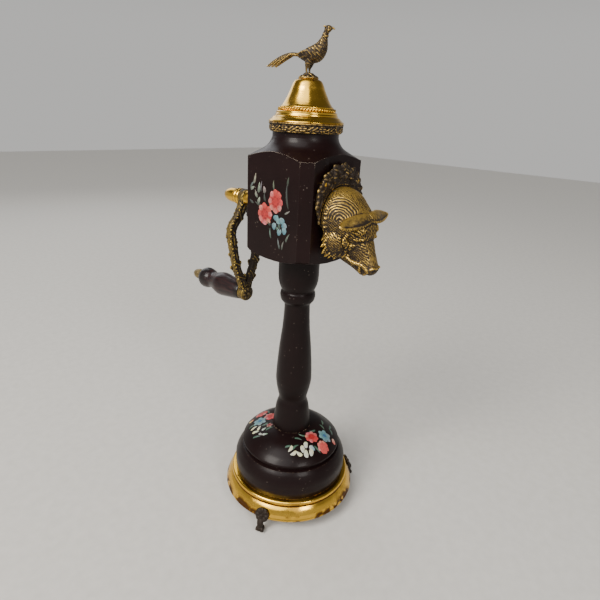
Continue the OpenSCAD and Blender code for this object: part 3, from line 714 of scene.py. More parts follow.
class Canvas:
    """Brush strokes that lie on a surface. lay(u, v, t) gives the place of a point on it."""

    def __init__(self, name, lay, seed):
        self.name = name
        self.lay = lay
        self.rng = random.Random(seed)
        self.points, self.faces, self.colours = [], [], []
        self.layer = 0

    def stroke(self, u, v, length, width, angle, colour, tip=None, point=0.0, bend=0.0):
        """One stroke. point 0 is round, 1 runs to a point; bend curves it to one side."""
        tip = tip or colour
        tip = tuple(mix(a, b, self.rng.uniform(0.6, 1.0)) for a, b in zip(colour, tip))
        self.layer += 1
        lift = PAINT_T * (0.25 + 0.012 * (self.layer % 40))
        turn_c, turn_s = math.cos(math.radians(angle)), math.sin(math.radians(angle))
        wobble = self.rng.uniform(0, 6.28)
        around, rings = 18, 4
        start = len(self.points)
        for ring in range(rings + 1):
            share = ring / rings
            for k in range(around if ring else 1):
                t = 2 * math.pi * k / around
                rough = 1 + 0.07 * math.sin(3 * t + wobble) + 0.04 * math.sin(7 * t + 2 * wobble)
                x = math.cos(t) * share * length / 2 * rough
                slim = 1 - point * max(0, 0.5 + x / length) ** 1.3
                y = math.sin(t) * share * width / 2 * rough * max(slim, 0.05)
                y += bend * x * x / length
                pu = u + x * turn_c - y * turn_s
                pv = v + x * turn_s + y * turn_c
                height = lift + PAINT_T * (1 - share ** 3) if ring < rings else -0.00002
                self.points.append(self.lay(pu, pv, height))
                shade = 0.5 + x / length + 0.25 * math.sin(5 * t + wobble) * share
                shade = min(1, max(0, shade))
                grey = self.rng.uniform(0.86, 1.08)
                self.colours.append([mix(c, d, shade) * grey for c, d in zip(colour, tip)] + [1])
        for k in range(around):
            n = (k + 1) % around
            self.faces.append([start, start + 1 + k, start + 1 + n])
            for ring in range(1, rings):
                inner = start + 1 + (ring - 1) * around
                outer = inner + around
                self.faces.append([inner + k, outer + k, outer + n, inner + n])

    def rose(self, u, v, width, height, heart=DEEP_RED, body=CORAL):
        """A rose seen from the front: rim petals, an inner bowl and a dark curled heart."""
        self.stroke(u, v, width * 0.86, height * 0.86, 0, body)
        for k in range(8):
            t = 45 * k + self.rng.uniform(-8, 8)
            c, s = math.cos(math.radians(t)), math.sin(math.radians(t))
            pale = PALE_PINK if s < -0.2 or self.rng.random() < 0.45 else ROSE_PINK
            self.stroke(u + c * width * 0.31, v + s * height * 0.31, width * 0.36, width * 0.34,
                        t, body, pale)
        # petals, first angle, place across and up, length, width, lean, point, bend
        for count, first, across, up, length, thick, lean, point, bend in (
                (6, 25, 0.19, 0.17, 0.27, 0.16, 90, 0.2, 0.5),
                (5, 0, 0.09, 0.09, 0.17, 0.08, 80, 0.3, 0.6)):
            for k in range(count):
                t = 360 / count * k + first
                c, s = math.cos(math.radians(t)), math.sin(math.radians(t))
                self.stroke(u + c * width * across, v + s * height * up, width * length,
                            width * thick, t + lean, heart, body, point, bend)

    def bloom(self, u, v, size, petal=SKY, heart=DEEP_BLUE, count=5):
        """A small open flower of round petals."""
        first = self.rng.uniform(0, 72)
        for k in range(count):
            t = first + 360 * k / count
            c, s = math.cos(math.radians(t)), math.sin(math.radians(t))
            self.stroke(u + c * size * 0.30, v + s * size * 0.30, size * 0.42, size * 0.38, t,
                        petal, tuple(mix(a, b, 0.45) for a, b in zip(petal, WHITE)))
        self.stroke(u, v, size * 0.24, size * 0.22, 0, heart)

    def piece(self, material, body):
        """The strokes as one piece, with every face to the outside."""
        data = bpy.data.meshes.new(self.name)
        data.from_pydata(self.points, [], self.faces)
        paint = data.attributes.new("paint", "FLOAT_COLOR", "POINT")
        paint.data.foreach_set("color", np.array(self.colours, np.float32).ravel())
        data.materials.append(material)
        data.shade_smooth()
        out = Vector(self.lay(0, 0, 0.01)) - Vector(self.lay(0, 0, 0))
        if sum(face.normal.dot(out) for face in data.polygons) < 0:
            data.flip_normals()
        finish_piece(linked(self.name, data), body, slot="lacquered_wood")


def dome_height(radius):
    """Height of the dome's surface at a distance from its axis."""
    radii = [p[0] for p in dome[20:]][::-1]
    heights = [p[1] for p in dome[20:]][::-1]
    return float(np.interp(radius, radii, heights))


def on_dome(u, v, t):
    """u and v are the plan, seen from above, with v to the front."""
    radius = math.hypot(u, v)
    return (u, -v, dome_height(radius) + t)


def at(azimuth, radius):
    """Plan place of a point at an angle from the front, in degrees and millimetres."""
    a = math.radians(azimuth)
    return math.sin(a) * radius / 1000, math.cos(a) * radius / 1000


paint = oil_paint()
bouquets = Canvas("flowers_on_dome", on_dome, 3)
for azimuth, radius, turn in ((-50, 21, 40), (-40, 21.2, 10), (-31, 16.1, 60), (51, 20.5, 130),
                              (38, 20.1, 100), (47, 25.4, 150), (38, 26.1, 120), (-7, 25.5, 80),
                              (12, 15.5, 200), (-20, 14.5, 240)):
    bouquets.stroke(*at(azimuth, radius), 0.0050, 0.0017, turn, LEAF, SAGE, 0.8, 0.4)
for azimuth, radius, turn in ((-43, 24.9, 200), (-35.6, 25.2, 250), (-47, 22.5, 170)):
    bouquets.stroke(*at(azimuth, radius), 0.0042, 0.0024, turn, CREAM, WHITE, 0.6, 0.3)
for azimuth, radius in ((-21.7, 21.1), (-28.9, 22.9), (-25.6, 25.7), (-17.7, 25.6)):
    bouquets.stroke(*at(azimuth, radius), 0.0040, 0.0029, azimuth * 2, WHITE, CREAM, 0.15)
bouquets.stroke(*at(-14.3, 23.8), 0.0038, 0.0028, 60, WHITE, SKY, 0.15)
bouquets.rose(*at(-2.4, 18.0), 0.0088, 0.0082)
bouquets.rose(*at(2.9, 26.0), 0.0082, 0.0066, CORAL, ROSE_PINK)
bouquets.bloom(*at(20.3, 22.8), 0.0082, SKY, DEEP_BLUE, 6)
bouquets.stroke(*at(25, 28.4), 0.0036, 0.0026, 300, ROSE_PINK, CREAM, 0.4)
for azimuth, radius, turn in ((-166, 20.5, 80), (-150, 17, 150), (-138, 25, 30), (-128, 17, 200),
                              (-110, 24, 60), (-176, 20, 300), (-112, 15.5, 20)):
    bouquets.stroke(*at(azimuth, radius), 0.0050, 0.0017, turn, LEAF, SAGE, 0.8, 0.4)
bouquets.rose(*at(-168.5, 23.2), 0.0086, 0.0074)
bouquets.rose(*at(-159.4, 15.2), 0.0080, 0.0074)
bouquets.bloom(*at(-142.9, 20.4), 0.0082, SKY, DEEP_BLUE, 6)
for azimuth, radius, turn in ((-130.6, 23.9, 30), (-119.8, 23.5, 60), (-124, 21, 340)):
    bouquets.stroke(*at(azimuth, radius), 0.0042, 0.0022, turn, CREAM, WHITE, 0.6, 0.3)
for azimuth, radius, turn in ((-115.8, 18.4, 10), (-102.5, 19.7, 50), (-108, 21.5, 80)):
    bouquets.stroke(*at(azimuth, radius), 0.0036, 0.0018, turn, WHITE, SAGE, 0.6)
bouquets.bloom(*at(-122.1, 14.4), 0.0040, DEEP_RED, CORAL)
bouquets.stroke(*at(-152.8, 27.3), 0.0036, 0.0026, 200, ROSE_PINK, CREAM, 0.4)
bouquets.stroke(*at(166.6, 26.8), 0.0036, 0.0026, 130, ROSE_PINK, WHITE, 0.4)
bouquets.piece(paint, "stand")


# ---- column ----
# One long turning between centres: flared foot, waist, belly, taper, bead, groove, cup and plain
# cap, with a tenon at each end, lacquered like the base.

WAIST_R = 0.0087
BELLY_R = 0.01085
NECK_R = 0.0074
BEAD_R = 0.0101
CAP_R = 0.01145

block_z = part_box("head_block")[0].z
belly_z = base_top + 0.036
neck_low = block_z - 0.031
column_outline = (
    [(SCREW_HOLE_R, base_top - TENON_LEN), (TENON_R, base_top - TENON_LEN), (TENON_R, base_top)]
    + curve([(COLUMN_FOOT_R, base_top), (COLUMN_FOOT_R - 0.0005, base_top + 0.005),
             (mix(COLUMN_FOOT_R, WAIST_R, 0.56), base_top + 0.0143),
             (WAIST_R + 0.0001, base_top + 0.0187), (WAIST_R, base_top + 0.0209),
             (mix(WAIST_R, BELLY_R, 0.45), base_top + 0.0253), (BELLY_R - 0.0003, base_top + 0.030),
             (BELLY_R, belly_z), (mix(BELLY_R, NECK_R, 0.32), mix(belly_z, neck_low, 0.36)),
             (mix(BELLY_R, NECK_R, 0.81), mix(belly_z, neck_low, 0.71)), (NECK_R, neck_low),
             (mix(NECK_R, BEAD_R, 0.35), block_z - 0.029), (BEAD_R - 0.0005, block_z - 0.0272),
             (BEAD_R, block_z - 0.0246), (BEAD_R - 0.0003, block_z - 0.0226)], 12)
    + [(BEAD_R - 0.0008, block_z - 0.022), (BEAD_R - 0.0008, block_z - 0.021)]
    + curve([(BEAD_R - 0.0004, block_z - 0.0206), (CAP_R - 0.0008, block_z - 0.0182),
             (CAP_R - 0.0002, block_z - 0.0156), (CAP_R, block_z - 0.0126)], 8)
    + [(CAP_R, block_z - 0.006), (CAP_R, block_z - 0.0004), (CAP_R - 0.0002, block_z),
       (TENON_R, block_z), (TENON_R, block_z + TENON_LEN),
       (SCREW_HOLE_R, block_z + TENON_LEN)])
column_lacquer = lacquer("column_lacquer", (0.0062, 0.0026, 0.0026))
column = turned("turned_column", finer(column_outline), column_lacquer)
store_relief(column, 0.0003, 5)
finish_piece(column, "stand", "column", slot="lacquered_wood")


# ---- head block ----
# A square block set on end in the lathe: its corners are turned to a barrel and its top to a
# coved round neck, which leaves an arched edge on each face. The edges show pale bare wood,
# partly rubbed through and partly a painted highlight, brightest along the top of the left face.

CORNER_H = 0.0505
NECK_TOP_R = 0.0168
ARRIS = 0.0013
FERRULE_OUT = 0.0065
BORE_LEN = 0.0428
SOCKET_HALF_W = 0.0072
SOCKET_HALF_T = 0.00195

low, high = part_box("head_block")
flat = high.x
neck_z = high.z
corner_z = low.z + CORNER_H
corner_r = flat * math.sqrt(2) - 0.00317
neck_h = neck_z - corner_z


def middle(name):
    """Middle of a CAD piece's box."""
    low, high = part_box(name)
    return (low + high) / 2


crank_z = middle("crank_cap").z
opener_z = middle("opener_socket").z
socket_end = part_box("opener_socket")[1].y


def worn_and_lit_arris():
    """Pale bare wood along the edges: lacquer rubbed through, and a painted highlight that is
    brightest along the top edge of the left face.
    """
    finish = Finish("worn_and_lit_arris")
    left = (finish.along("X") * -1.0).between(0.012, 0.0215)
    top = finish.along("Z").between(corner_z - 0.004, corner_z + 0.001)
    chip = finish.noise(0.0024, 4)
    fine = finish.noise(0.0007, 3)
    # brighter along the top edge of the left face: partly wear, partly a painted highlight
    rubbed_and_lit = left * top * 0.44 + top * 0.07 + left * 0.03
    bare = (chip * 0.6 + fine * 0.4 + rubbed_and_lit - 0.12).between(0.48, 0.60)
    wood = finish.tint(fine, (0.46, 0.34, 0.24), (0.90, 0.80, 0.66))
    finish.bump(fine, 0.00006)
    return finish.surface(Base_Color=finish.tint(bare, (0.020, 0.009, 0.008), wood),
                          Roughness=0.4 + bare * 0.3)


def cut(piece, other, how):
    """Cuts one solid with another."""
    tool = piece.modifiers.new("cut", "BOOLEAN")
    tool.operation = how
    tool.solver = "EXACT"
    tool.object = other
    settle(piece)
    bpy.data.objects.remove(other)


def brick(name, corner_a, corner_b):
    """A plain box, to cut with."""
    (x0, y0, z0), (x1, y1, z1) = corner_a, corner_b
    points = [(x, y, z) for x in (x0, x1) for y in (y0, y1) for z in (z0, z1)]
    faces = [(0, 1, 3, 2), (4, 6, 7, 5), (0, 4, 5, 1), (2, 3, 7, 6), (0, 2, 6, 4), (1, 5, 7, 3)]
    return make(name, points, faces)


def along_y(y, z):
    """Turns what is drawn along +Z so that it points to the back, from y at height z."""
    return Matrix.Translation((0, y, z)) @ Matrix.Rotation(math.radians(-90), 4, "X")


block_outline = (
    [(0, low.z), (corner_r - 0.006, low.z), (corner_r - 0.001, low.z + 0.0018),
     (corner_r, low.z + 0.003), (corner_r, corner_z)]
    + curve([(corner_r - 0.0004, corner_z + 0.0001),
             (mix(corner_r, NECK_TOP_R, 0.52), corner_z + neck_h * 0.27),
             (mix(corner_r, NECK_TOP_R, 0.78), corner_z + neck_h * 0.44),
             (mix(corner_r, NECK_TOP_R, 0.93), corner_z + neck_h * 0.64),
             (NECK_TOP_R, corner_z + neck_h * 0.82)], 12)
    + [(NECK_TOP_R, neck_z), (0, neck_z)])
block_lacquer = lacquer("block_lacquer", (0.0082, 0.0030, 0.0030))
block = turned("head_of_the_pump", block_outline, block_lacquer, around=256)
cut(block, brick("square", (-flat, -flat, low.z - 0.01), (flat, flat, neck_z + 0.01)), "INTERSECT")
block.data.materials.append(worn_and_lit_arris())
edge = block.modifiers.new("arris", "BEVEL")
edge.width = ARRIS
edge.segments = 3
edge.limit_method = "ANGLE"
edge.angle_limit = math.radians(24)
edge.material = 1
edge.harden_normals = True
settle(block)
bore = turned("bore", [(0, 0), (FERRULE_OUT + FIT, 0), (FERRULE_OUT + FIT, 0.06), (0, 0.06)],
              around=64, place=along_y(flat - BORE_LEN, crank_z))
cut(block, bore, "DIFFERENCE")
cut(block, brick("slot", (-SOCKET_HALF_W, -flat - 0.01, opener_z - SOCKET_HALF_T),
                 (SOCKET_HALF_W, socket_end + 0.0001, opener_z + SOCKET_HALF_T)),
    "DIFFERENCE")
finish_piece(block, "stand", "head_block", slot="lacquered_wood")


# ---- painted flowers on the block's sides ----
# A spray in the same paint: two coral roses, blue flowers under them, pale buds above, and thin
# grey-green leaves and stems. The other side carries the same spray the other way round.

MIST = (0.22, 0.24, 0.21)
FAINT = (0.055, 0.070, 0.058)
SHADE = (0.016, 0.028, 0.020)
BUD_GREY = (0.34, 0.35, 0.32)
PALE_SKY = (0.19, 0.29, 0.30)


def on_left_side(u, v, t):
    """u runs towards the back and v up from the crank's axis."""
    return (-flat - t, u, crank_z + v)


def on_right_side(u, v, t):
    return (flat + t, u, crank_z + v)


def spray(name, lay):
    """The spray on one side, in millimetres from the crank's axis."""
    canvas = Canvas(name, lay, 11)

    def lay_stroke(u, v, length, width, *rest):
        canvas.stroke(u / 1000, v / 1000, length / 1000, width / 1000, *rest)

    for u, v, length, turn in ((-5.5, -13.8, 6.0, 75), (-8.3, -14.0, 5.0, 105),
                               (0.7, -9.5, 5.5, 82), (-11.4, -9.7, 5.5, 118),
                               (11.4, 9.0, 4.5, 60), (8.0, 13.0, 5.5, 100),
                               (14.5, 13.5, 5.0, 130), (-1.0, 14.5, 5.0, 85)):
        lay_stroke(u, v, length, 1.5, turn, SHADE, MIST, 0.8, 0.25)
    for u, v, length, turn in ((5.3, 8.0, 4.4, 80), (-10.0, 11.0, 13.0, 86), (2.0, -4.4, 4.2, 40),
                               (-6.0, -4.2, 4.0, 120), (10.4, 4.0, 4.2, 20), (-6.0, -7.0, 5.0, 95),
                               (-10.6, 17.6, 4.6, 100), (15.0, 4.5, 3.5, 30)):
        lay_stroke(u, v, length, 1.7, turn, SHADE, FAINT, 0.8, 0.3)
    for u, v, length, width, turn in ((12.5, 16.2, 5.8, 1.8, 105), (9.4, 12.1, 5.6, 2.0, 98),
                                      (5.4, 11.6, 3.6, 2.6, 80), (14.3, 11.4, 3.4, 2.0, 150),
                                      (11.4, 8.4, 3.2, 2.2, 60), (9.3, 5.9, 3.4, 2.4, 110),
                                      (-10.8, 2.6, 4.0, 1.2, 150)):
        lay_stroke(u, v, length, width, turn, FAINT, BUD_GREY, 0.5)
    canvas.rose(-0.0027, 0.0069, 0.0104, 0.0132)
    canvas.rose(0.0047, -0.0004, 0.0108, 0.0122)
    for u, v in ((-3.3, -1.1), (-7.6, -1.9), (-2.1, -5.4), (-5.8, -7.8), (-9.1, -4.1),
                 (-5.4, -2.6), (-9.2, -6.6)):
        lay_stroke(u, v, 3.7, 3.1, canvas.rng.uniform(0, 180), SKY, PALE_SKY)
    for u, v in ((-5.6, -4.9), (-4.4, -6.4)):
        lay_stroke(u, v, 1.9, 1.4, 40, LEAF, SAGE)
    canvas.piece(paint, "stand")


spray("flowers_on_left_side", on_left_side)
spray("flowers_on_right_side", on_right_side)


# ---- gallery band ----
# A cast ring of curled leaves between two plain rims, pinned to the neck. Its hollows are black
# with old polish, and the leaves and rims are rubbed bright.

GALLERY_HOLE_R = 0.0098
GALLERY_FLOOR = 0.001
RIM_H = 0.0008
SCROLLS = 24
LIP_W = 0.0022
CAST_CELL = 0.00020


def row_tree():
    """Lays copies of a shape along a line, facing the way that the line's "out" says."""
    tree = bpy.data.node_groups.new("row_of_shapes", "GeometryNodeTree")
    for name, kind in (("Line", "NodeSocketGeometry"), ("Shape", "NodeSocketObject"),
                       ("Count", "NodeSocketInt"), ("Size", "NodeSocketFloat"),
                       ("Spread", "NodeSocketFloat"), ("Lean", "NodeSocketFloat"),
                       ("Swing", "NodeSocketFloat"), ("Seed", "NodeSocketInt"),
                       ("Material", "NodeSocketMaterial")):
        tree.interface.new_socket(name, in_out="INPUT", socket_type=kind)
    tree.interface.new_socket("Row", in_out="OUTPUT", socket_type="NodeSocketGeometry")
    given = tree.nodes.new("NodeGroupInput").outputs

    def step(kind, sockets=(), **settings):
        node = tree.nodes.new(kind)
        for key, item in settings.items():
            setattr(node, key, item)
        for key, item in dict(sockets).items():
            if isinstance(item, bpy.types.NodeSocket):
                tree.links.new(item, node.inputs[key])
            else:
                node.inputs[key].default_value = item
        return node.outputs

    def number(operation, a, b):
        return step("ShaderNodeMath", {0: a, 1: b}, operation=operation)[0]

    line = step("GeometryNodeMeshToCurve", {"Mesh": given["Line"]})[0]
    evened = step("GeometryNodeResampleCurve", {"Curve": line, "Count": given["Count"]})[0]
    out = step("GeometryNodeInputNamedAttribute", {"Name": "out"}, data_type="FLOAT_VECTOR")[0]
    ahead = step("GeometryNodeInputTangent")[0]
    facing = step("FunctionNodeAxesToRotation", {"Primary Axis": out, "Secondary Axis": ahead},
                  primary_axis="Z", secondary_axis="X")[0]
    odd = number("MODULO", step("GeometryNodeInputIndex")[0], 2.0)
    turn = number("ADD", given["Lean"], number("MULTIPLY", odd, given["Swing"]))
    lean = step("FunctionNodeAxisAngleToRotation", {"Axis": (0, 0, 1), "Angle": turn})[0]
    leaning = step("FunctionNodeRotateRotation", {"Rotation": facing, "Rotate By": lean},
                   rotation_space="LOCAL")[0]
    least = number("SUBTRACT", given["Size"], given["Spread"])
    most = number("ADD", given["Size"], given["Spread"])
    chance = tree.nodes.new("FunctionNodeRandomValue")
    chance.data_type = "FLOAT"
    for place, item in ((2, least), (3, most), (8, given["Seed"])):
        tree.links.new(item, chance.inputs[place])
    shape = step("GeometryNodeObjectInfo", {"Object": given["Shape"]})["Geometry"]
    copies = step("GeometryNodeInstanceOnPoints", {
        "Points": evened, "Instance": shape, "Rotation": leaning, "Scale": chance.outputs[1]})[0]
    solid = step("GeometryNodeRealizeInstances", {"Geometry": copies})[0]
    coated = step("GeometryNodeSetMaterial", {"Geometry": solid, "Material": given["Material"]})[0]
    tree.links.new(coated, tree.nodes.new("NodeGroupOutput").inputs[0])
    return tree


ROW_TREE = row_tree()


def row(name, line, outs, shape, count, material, closed=False, **inputs):
    """Copies of a shape along a line of points. Each point of the line has its own way out."""
    data = bpy.data.meshes.new(name)
    links = [(i, i + 1) for i in range(len(line) - 1)] + ([(len(line) - 1, 0)] if closed else [])
    data.from_pydata([tuple(p) for p in line], links, [])
    layer = data.attributes.new("out", "FLOAT_VECTOR", "POINT")
    layer.data.foreach_set("vector", np.array(outs, np.float32).ravel())
    piece = linked(name, data)
    pattern = make(name + "_shape", *shape)
    laid = piece.modifiers.new("row", "NODES")
    laid.node_group = ROW_TREE
    wanted = {"Shape": pattern, "Count": count, "Size": 1.0, "Spread": 0.0, "Lean": 0.0,
              "Swing": 0.0, "Seed": 1, "Material": material, **inputs}
    for item in ROW_TREE.interface.items_tree:
        if item.name in wanted:
            laid[item.identifier] = wanted[item.name]
    settle(piece)
    bpy.data.objects.remove(pattern)
    return piece


def as_shape(piece):
    """Takes a piece apart into points and faces, to fuse it with others."""
    shape = ([v.co.copy() for v in piece.data.vertices],
             [list(face.vertices) for face in piece.data.polygons])
    bpy.data.objects.remove(piece)
    return shape


def circle(radius, height, points=120):
    """A level circle and the ways out from it."""
    angles = np.linspace(0, 2 * math.pi, points + 1)[:-1]
    outs = [Vector((math.cos(a), math.sin(a), 0)) for a in angles]
    return [Vector((out.x * radius, out.y * radius, height)) for out in outs], outs


low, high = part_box("gallery_band")
gallery_r, gallery_top = high.x, high.z
wall_r = gallery_r - 0.0014
inside_r = gallery_r - LIP_W + 0.0003
gallery_outline = [
    (GALLERY_HOLE_R, neck_z), (wall_r - 0.0002, neck_z), (wall_r + 0.0005, neck_z + 0.0003),
    (wall_r + 0.0006, neck_z + 0.0006), (wall_r + 0.0003, neck_z + RIM_H),
    (wall_r, neck_z + 0.0012), (wall_r, gallery_top - 0.0012),
    (gallery_r - 0.0002, gallery_top - RIM_H), (gallery_r, gallery_top - 0.0004),
    (gallery_r - 0.0003, gallery_top), (inside_r, gallery_top),
    (inside_r, neck_z + GALLERY_FLOOR), (GALLERY_HOLE_R, neck_z + GALLERY_FLOOR)]
curl = [(0.0016 * (1 - t * 0.75) * math.cos(6.5 * t + 2.2),
         0.0014 * (1 - t * 0.7) * math.sin(6.5 * t + 2.2),
         0.0004, 0.00042 - 0.00012 * t, 0.0005) for t in np.linspace(0, 1, 12)]
scroll = joined([
    loft([(-0.0042, -0.0006, 0.0003, 0.0002, 0.0003), (-0.0026, 0.0004, 0.0004, 0.00038, 0.00045),
          curl[0]], (0, 0, 1), 4, 8),
    loft(curl, (0, 0, 1), 2, 8),
    ball((0.0026, 0.0009, 0.0003), (0.0010, 0.0005, 0.0006)),
    ball((0.0029, 0.0000, 0.0003), (0.0011, 0.00045, 0.0006)),
    ball((0.0026, -0.0009, 0.0003), (0.0010, 0.0005, 0.0006))])
gallery_brass = antique_brass("gallery_brass", (0.72, 0.46, 0.12), 0.53, 0.72)
ring, ring_out = circle(wall_r, (neck_z + gallery_top) / 2)
scrolls = row("scrolls", ring, ring_out, scroll, SCROLLS, gallery_brass, True,
              Swing=math.pi, Size=1.06)
gallery = cast("gallery", [as_shape(turned("wall", gallery_outline, around=240)),
                           as_shape(scrolls)], CAST_CELL, gallery_brass)
soften(gallery, 1)
store_relief(gallery, 0.0003, 10)
finish_piece(gallery, "stand", "gallery_band", slot="antique_brass")
coat(plain_brass, "gallery_pins")


# ---- bell ----
# A small hand bell of cast and polished brass: flared lip, two turned rounds with a rope
# moulding between them, a tall waist and a flat crown.

BELL_SHOULDER_R = 0.0079
BELL_CROWN_R = 0.0046
BELL_WALL = 0.0011
CROWN_T = 0.0015
STUD_R = 0.0015
SPIGOT_H = 0.0015
ROPE_STRANDS = 58
ROPE_LEAN = 36
ROPE_UP = 0.0061
ROUND_GAP = 0.0012

bell_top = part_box("bell")[1].z
bell_h = bell_top - gallery_top


def flare(share, up):
    """A point of the bell's outline, as a share of the way in and of the way up."""
    return (mix(gallery_r, BELL_SHOULDER_R, share), gallery_top + bell_h * up)


bell_skin = curve([(gallery_r - 0.0001, gallery_top + 0.0007), flare(0.23, 0.13), flare(0.38, 0.25),
                   flare(0.55, 0.37), flare(0.71, 0.5), flare(0.91, 0.72), flare(1, 0.84),
                   (mix(BELL_SHOULDER_R, BELL_CROWN_R, 0.38), gallery_top + bell_h * 0.95),
                   (BELL_CROWN_R, bell_top)], 16)


def raised(up, height, width):
    """How much a turned round stands out at a height above the gallery."""
    return height * math.exp(-(up / width) ** 2)


bell_outer = []
for radius, height in bell_skin:
    up = height - gallery_top - ROPE_UP
    lift = (raised(up - ROUND_GAP, 0.00035, 0.00045) + raised(up + ROUND_GAP, 0.0004, 0.00045)
            - raised(up, 0.0004, 0.0006) + raised(up + 0.0036, 0.0002, 0.0004)
            - raised(up + 0.0030, 0.00025, 0.0003))
    bell_outer.append((radius + lift, height))
lip_r = gallery_r - LIP_W
bell_outline = ([(STUD_R + FIT, bell_top - CROWN_T), (STUD_R + FIT, bell_top)] + bell_outer[::-1]
                + [(gallery_r, gallery_top + 0.0003), (gallery_r - 0.0003, gallery_top),
                   (lip_r, gallery_top), (lip_r, gallery_top - SPIGOT_H),
                   (lip_r - BELL_WALL, gallery_top - SPIGOT_H)]
                + [(radius - BELL_WALL, height - 0.00035) for radius, height in bell_skin[16:-20:4]]
                + [(BELL_CROWN_R, bell_top - CROWN_T)])
bell_brass = polished_brass("bell_brass", 0.0003)
bell = turned("hand_bell", bell_outline, bell_brass, around=224)
rope_r = float(np.interp(ROPE_UP, [h - gallery_top for r, h in bell_skin],
                         [r for r, h in bell_skin])) + 0.00002
ring, ring_out = circle(rope_r, gallery_top + ROPE_UP)
strand = ball((0, 0, 0.0001), (0.00115, 0.00046, 0.0005))
rope = row("rope", ring, ring_out, strand, ROPE_STRANDS, bell_brass, True,
           Lean=math.radians(ROPE_LEAN))
work = bmesh.new()
work.from_mesh(bell.data)
work.from_mesh(rope.data)
work.to_mesh(bell.data)
work.free()
bpy.data.objects.remove(rope)
store_relief(bell, 0.00022, 5)
finish_piece(bell, "bell", "bell", slot="polished_brass")
coat(plain_brass, "bell_eye", "clapper_rod", "clapper_ball")


# ---- pheasant ----
# A little cock pheasant cast in brass: long arched tail, folded wings, ringed neck and ear tufts,
# standing on a mound of leaves. Its stud passes through the bell's crown and takes the nut.

BIRD_TURN = 22
MM = 0.001


def mm_rows(*rows):
    """Rows of a loft, given in millimetres with the height above the bell's crown."""
    return [(x * MM, y * MM, bell_top + z * MM, w * MM, d * MM) for x, y, z, w, d in rows]


def bird_ball(x, y, z, *size, turn=None):
    return ball((x * MM, y * MM, bell_top + z * MM), [s * MM for s in size], turn)


def tilt(degrees, axis="X"):
    return Matrix.Rotation(math.radians(degrees), 3, axis)


bird = [loft(mm_rows((0, 5.6, 9.9, 0.9, 0.8), (0, 3.4, 10.1, 2.4, 1.9), (0, 0.2, 10.0, 3.6, 3.1),
                     (0, -3.2, 11.0, 4.0, 3.9), (0, -5.4, 13.2, 3.4, 3.3),
                     (0, -6.5, 15.8, 2.3, 2.2), (0, -7.0, 17.7, 1.55, 1.5),
                     (0, -7.6, 19.6, 1.35, 1.3), (0, -8.3, 21.2, 1.5, 1.4))),
        bird_ball(0, -8.6, 21.3, 1.45, 1.9, 1.45),
        bird_ball(0, -8.0, 22.05, 0.9, 1.3, 0.6, turn=tilt(-12)),
        loft(mm_rows((0, -9.6, 21.5, 0.75, 0.75), (0, -11.0, 21.4, 0.45, 0.5),
                     (0, -11.9, 20.8, 0.15, 0.2))),
        bird_ball(0, -7.2, 17.9, 1.95, 1.85, 0.38, turn=tilt(-14)),
        loft(mm_rows((0, 0, -2.9, 1.5, 1.5), (0, 0, 0.6, 1.5, 1.5)), steps=1, sides=32)]
bird.append(loft(mm_rows((0, 0, 0, 4.9, 4.9), (0, 0, 0.5, 4.9, 4.9), (0, 0, 0.9, 3.9, 3.9),
                         (0, 0, 1.7, 3.2, 3.0), (0, 0, 2.5, 2.6, 2.2)), steps=2, sides=40))
for side in (-1, 1):
    bird += [
        loft(mm_rows((side * 1.0, -7.9, 21.9, 0.4, 0.4), (side * 1.2, -7.0, 22.1, 0.4, 0.35),
                     (side * 1.35, -6.4, 22.2, 0.15, 0.15))),
        bird_ball(side * 1.25, -9.1, 21.6, 0.32, 0.45, 0.45),
        bird_ball(side * 1.2, -9.0, 20.6, 0.4, 0.6, 0.6),
        bird_ball(side * 3.0, -1.6, 11.4, 1.2, 4.4, 2.2, turn=tilt(-20)),
        loft(mm_rows((side * 1.7, -0.4, 8.2, 1.6, 1.9), (side * 2.0, 0.1, 6.1, 1.2, 1.3),
                     (side * 2.1, 0.5, 4.4, 0.62, 0.62), (side * 2.1, 0.4, 3.0, 0.5, 0.5),
                     (side * 2.1, 0.2, 2.2, 0.7, 0.6)))]
    for k in range(4):
        bird.append(loft(mm_rows(
            (side * (3.7 - 0.15 * k), -2.6 + 0.6 * k, 12.2 - 0.75 * k, 0.35, 0.6),
            (side * (3.6 - 0.1 * k), 1.4, 11.5 - 0.6 * k, 0.45, 0.65),
            (side * (2.3 - 0.1 * k), 5.6 - 0.5 * k, 10.4 - 0.35 * k, 0.25, 0.4))))
    for spread in (-1, 0, 1):
        bird.append(loft(mm_rows((side * 2.1, 0.1, 2.4, 0.42, 0.4),
                                 (side * 2.1 + spread * 0.9, -1.6, 1.95, 0.32, 0.3),
                                 (side * 2.1 + spread * 1.3, -2.6, 1.5, 0.2, 0.25))))
for k in range(7):
    spread = (k - 3) / 3
    reach = 22.3 - 4.6 * abs(spread) ** 1.4
    drop = 0.5 * abs(spread)
    bird.append(loft(mm_rows(
        (spread * 1.0, 3.6, 10.2 - drop, 0.7, 0.45), (spread * 1.6, 8.5, 10.9 - drop, 0.75, 0.5),
        (spread * 1.7, 0.6 * reach, 10.0 - drop, 0.7, 0.45),
        (spread * 1.3, 0.85 * reach, 7.3 - drop, 0.55, 0.4),
        (spread * 0.7, reach, 5.0 - drop * 0.5, 0.2, 0.25))))
bird += ringed(bird_ball(3.9, 0, 0.9, 1.2, 0.75, 0.5, turn=tilt(25, "Y")), 11)
pheasant_brass = antique_brass("pheasant_brass", (0.58, 0.38, 0.10), 0.50, 0.76)
pheasant = cast("cast_pheasant", bird, 0.00016, pheasant_brass)
soften(pheasant, 2)


